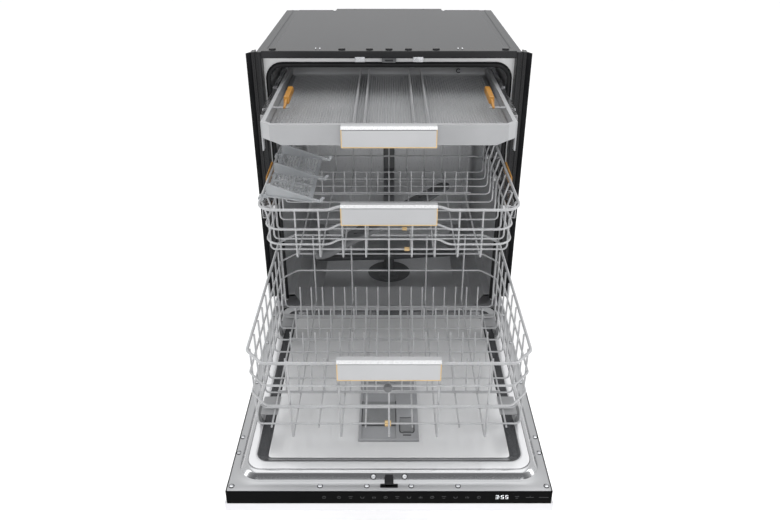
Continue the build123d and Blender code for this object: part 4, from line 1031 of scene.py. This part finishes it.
def plates(name, strokes, material):
    points, faces = [], []
    for corners in strokes:
        first = len(points)
        points += corners
        for face in ((0, 1, 2, 3), (7, 6, 5, 4), (0, 4, 5, 1), (1, 5, 6, 2), (2, 6, 7, 3), (3, 7, 4, 0)):
            faces.append(tuple(first + i for i in face))
    settle(outward(make_object(name, points, (), faces)), "door", "strip_black", (), material)


def line_of(spots, width=0.9):
    return [stroke(a, b, width) for a, b in zip(spots, spots[1:])]


def key_mark(kind, x, z):
    """One of four plain marks: a dial, a drop line, a bowl and a fan of three strokes."""
    if kind == 0:
        return line_of(arc(x, z, 3.2, 0, 360, 8), 0.7) + [stroke((x, z), (x, z + 2))]
    if kind == 1:
        return [stroke((x - 3.5, z + 2), (x + 3.5, z + 2)), stroke((x - 2, z - 2), (x + 2, z - 2))]
    if kind == 2:
        return line_of([(x - 3.5, z + 1.5), (x - 2, z - 2), (x + 2, z - 2), (x + 3.5, z + 1.5)])
    return [stroke((x + 2.6 * step, z - 2), (x + 2.6 * step, z + 2 - abs(step))) for step in (-1, 0, 1)]


SEGMENTS = {"a": (0, 2, 1, 2), "b": (1, 1, 1, 2), "c": (1, 0, 1, 1), "d": (0, 0, 1, 0), "e": (0, 0, 0, 1),
            "f": (0, 1, 0, 2), "g": (0, 1, 1, 1)}


def figure(letters, x, z, width=4.2, half_height=4.2):
    """A seven-segment figure, with the segments named a to g as usual."""
    return [stroke((x + width * x1, z + half_height * z1), (x + width * x2, z + half_height * z2), 0.85)
            for x1, z1, x2, z2 in (SEGMENTS[letter] for letter in letters)]


marks = [part for step in range(13) for part in key_mark(step % 4, -92 + 21.45 * step, MARK_Z)]
marks += key_mark(0, -119.5, MARK_Z) + key_mark(1, 235.3, MARK_Z)
marks += [stroke((low, z), (high, z)) for low, high, z in (
    (252, 266, MARK_Z), (276, 293, MARK_Z), (259, 260, MARK_Z + 3))]
plates("key_marks", marks, finish("dim_print", (0.05, 0.051, 0.053), 0.5, 0.0, 0.10, 0.05, 200.0))
time = [part for segments, x in (("abgcd", 196.5), ("afgcd", 206.5), ("afgcd", 214.5))
        for part in figure(segments, x, MARK_Z - 3.4)]
time += [stroke((203.6, MARK_Z + z), (203.6, MARK_Z + z + 0.2)) for z in (-1, 2)]
plates("lit_time", time, finish("lit_time", (0.90, 0.92, 0.94), 0.5, 0.0, 0.03, 0.05, 200.0, glow=0.7))

# %% [markdown]
# ## Small fittings
# A few more things show in the racks: gold clips on the wires that hold the spray arm's pipe and the tines,
# the knob under the lower handle, and a black hook in the back of the top tray.

# %% Clips, knob and hook
def saddle(name, x, y, z, body, half=5.0, inner=2.2, outer=4.8):
    """A clip that straddles a wire which lies along x."""
    steps = 8
    profile = arc(0, 0, outer, -25, 230, steps) + arc(0, 0, inner, -25, 230, steps)[::-1]
    count = len(profile)
    points = [(x + side * half, y + u, z + v) for side in SIDES for u, v in profile]
    faces = ring_faces(2, count)
    for i in range(steps):
        j = count - 1 - i
        faces += [(i, i + 1, j - 1, j), (count + i, count + j, count + j - 1, count + i + 1)]
    clip = rounded(outward(make_object(name, points, (), faces), 0.001), 0.4)
    settle(clip, body, "lever_orange", (), gold)


saddle("lower_gold_clip", -2, -531, 266, "lower_rack", 6, 2.0, 6.5)
saddle("upper_gold_clip", 33, -224, 531, "upper_rack")
saddle("upper_front_clip", 36, -316, 531, "upper_rack")
knob = small_model("knob_shape", [(4.0, 0), (7.5, 1.5), (8.0, 6), (6.5, 9), (2.5, 9.6)], 20)
set_models("lower_front_knob", knob, [(-2, -573.6, 391)], "lower_rack", "wheel_grey", (radians(90), 0, 0))
put_away(knob)
hook = [(x, 209.0, z) for x, z in arc(174, 758, 5, 40, 288, 9)]
wire_piece("tray_hook", [hook], 2.4, 1, "third_rack", 8, 2, slot="black_trim")
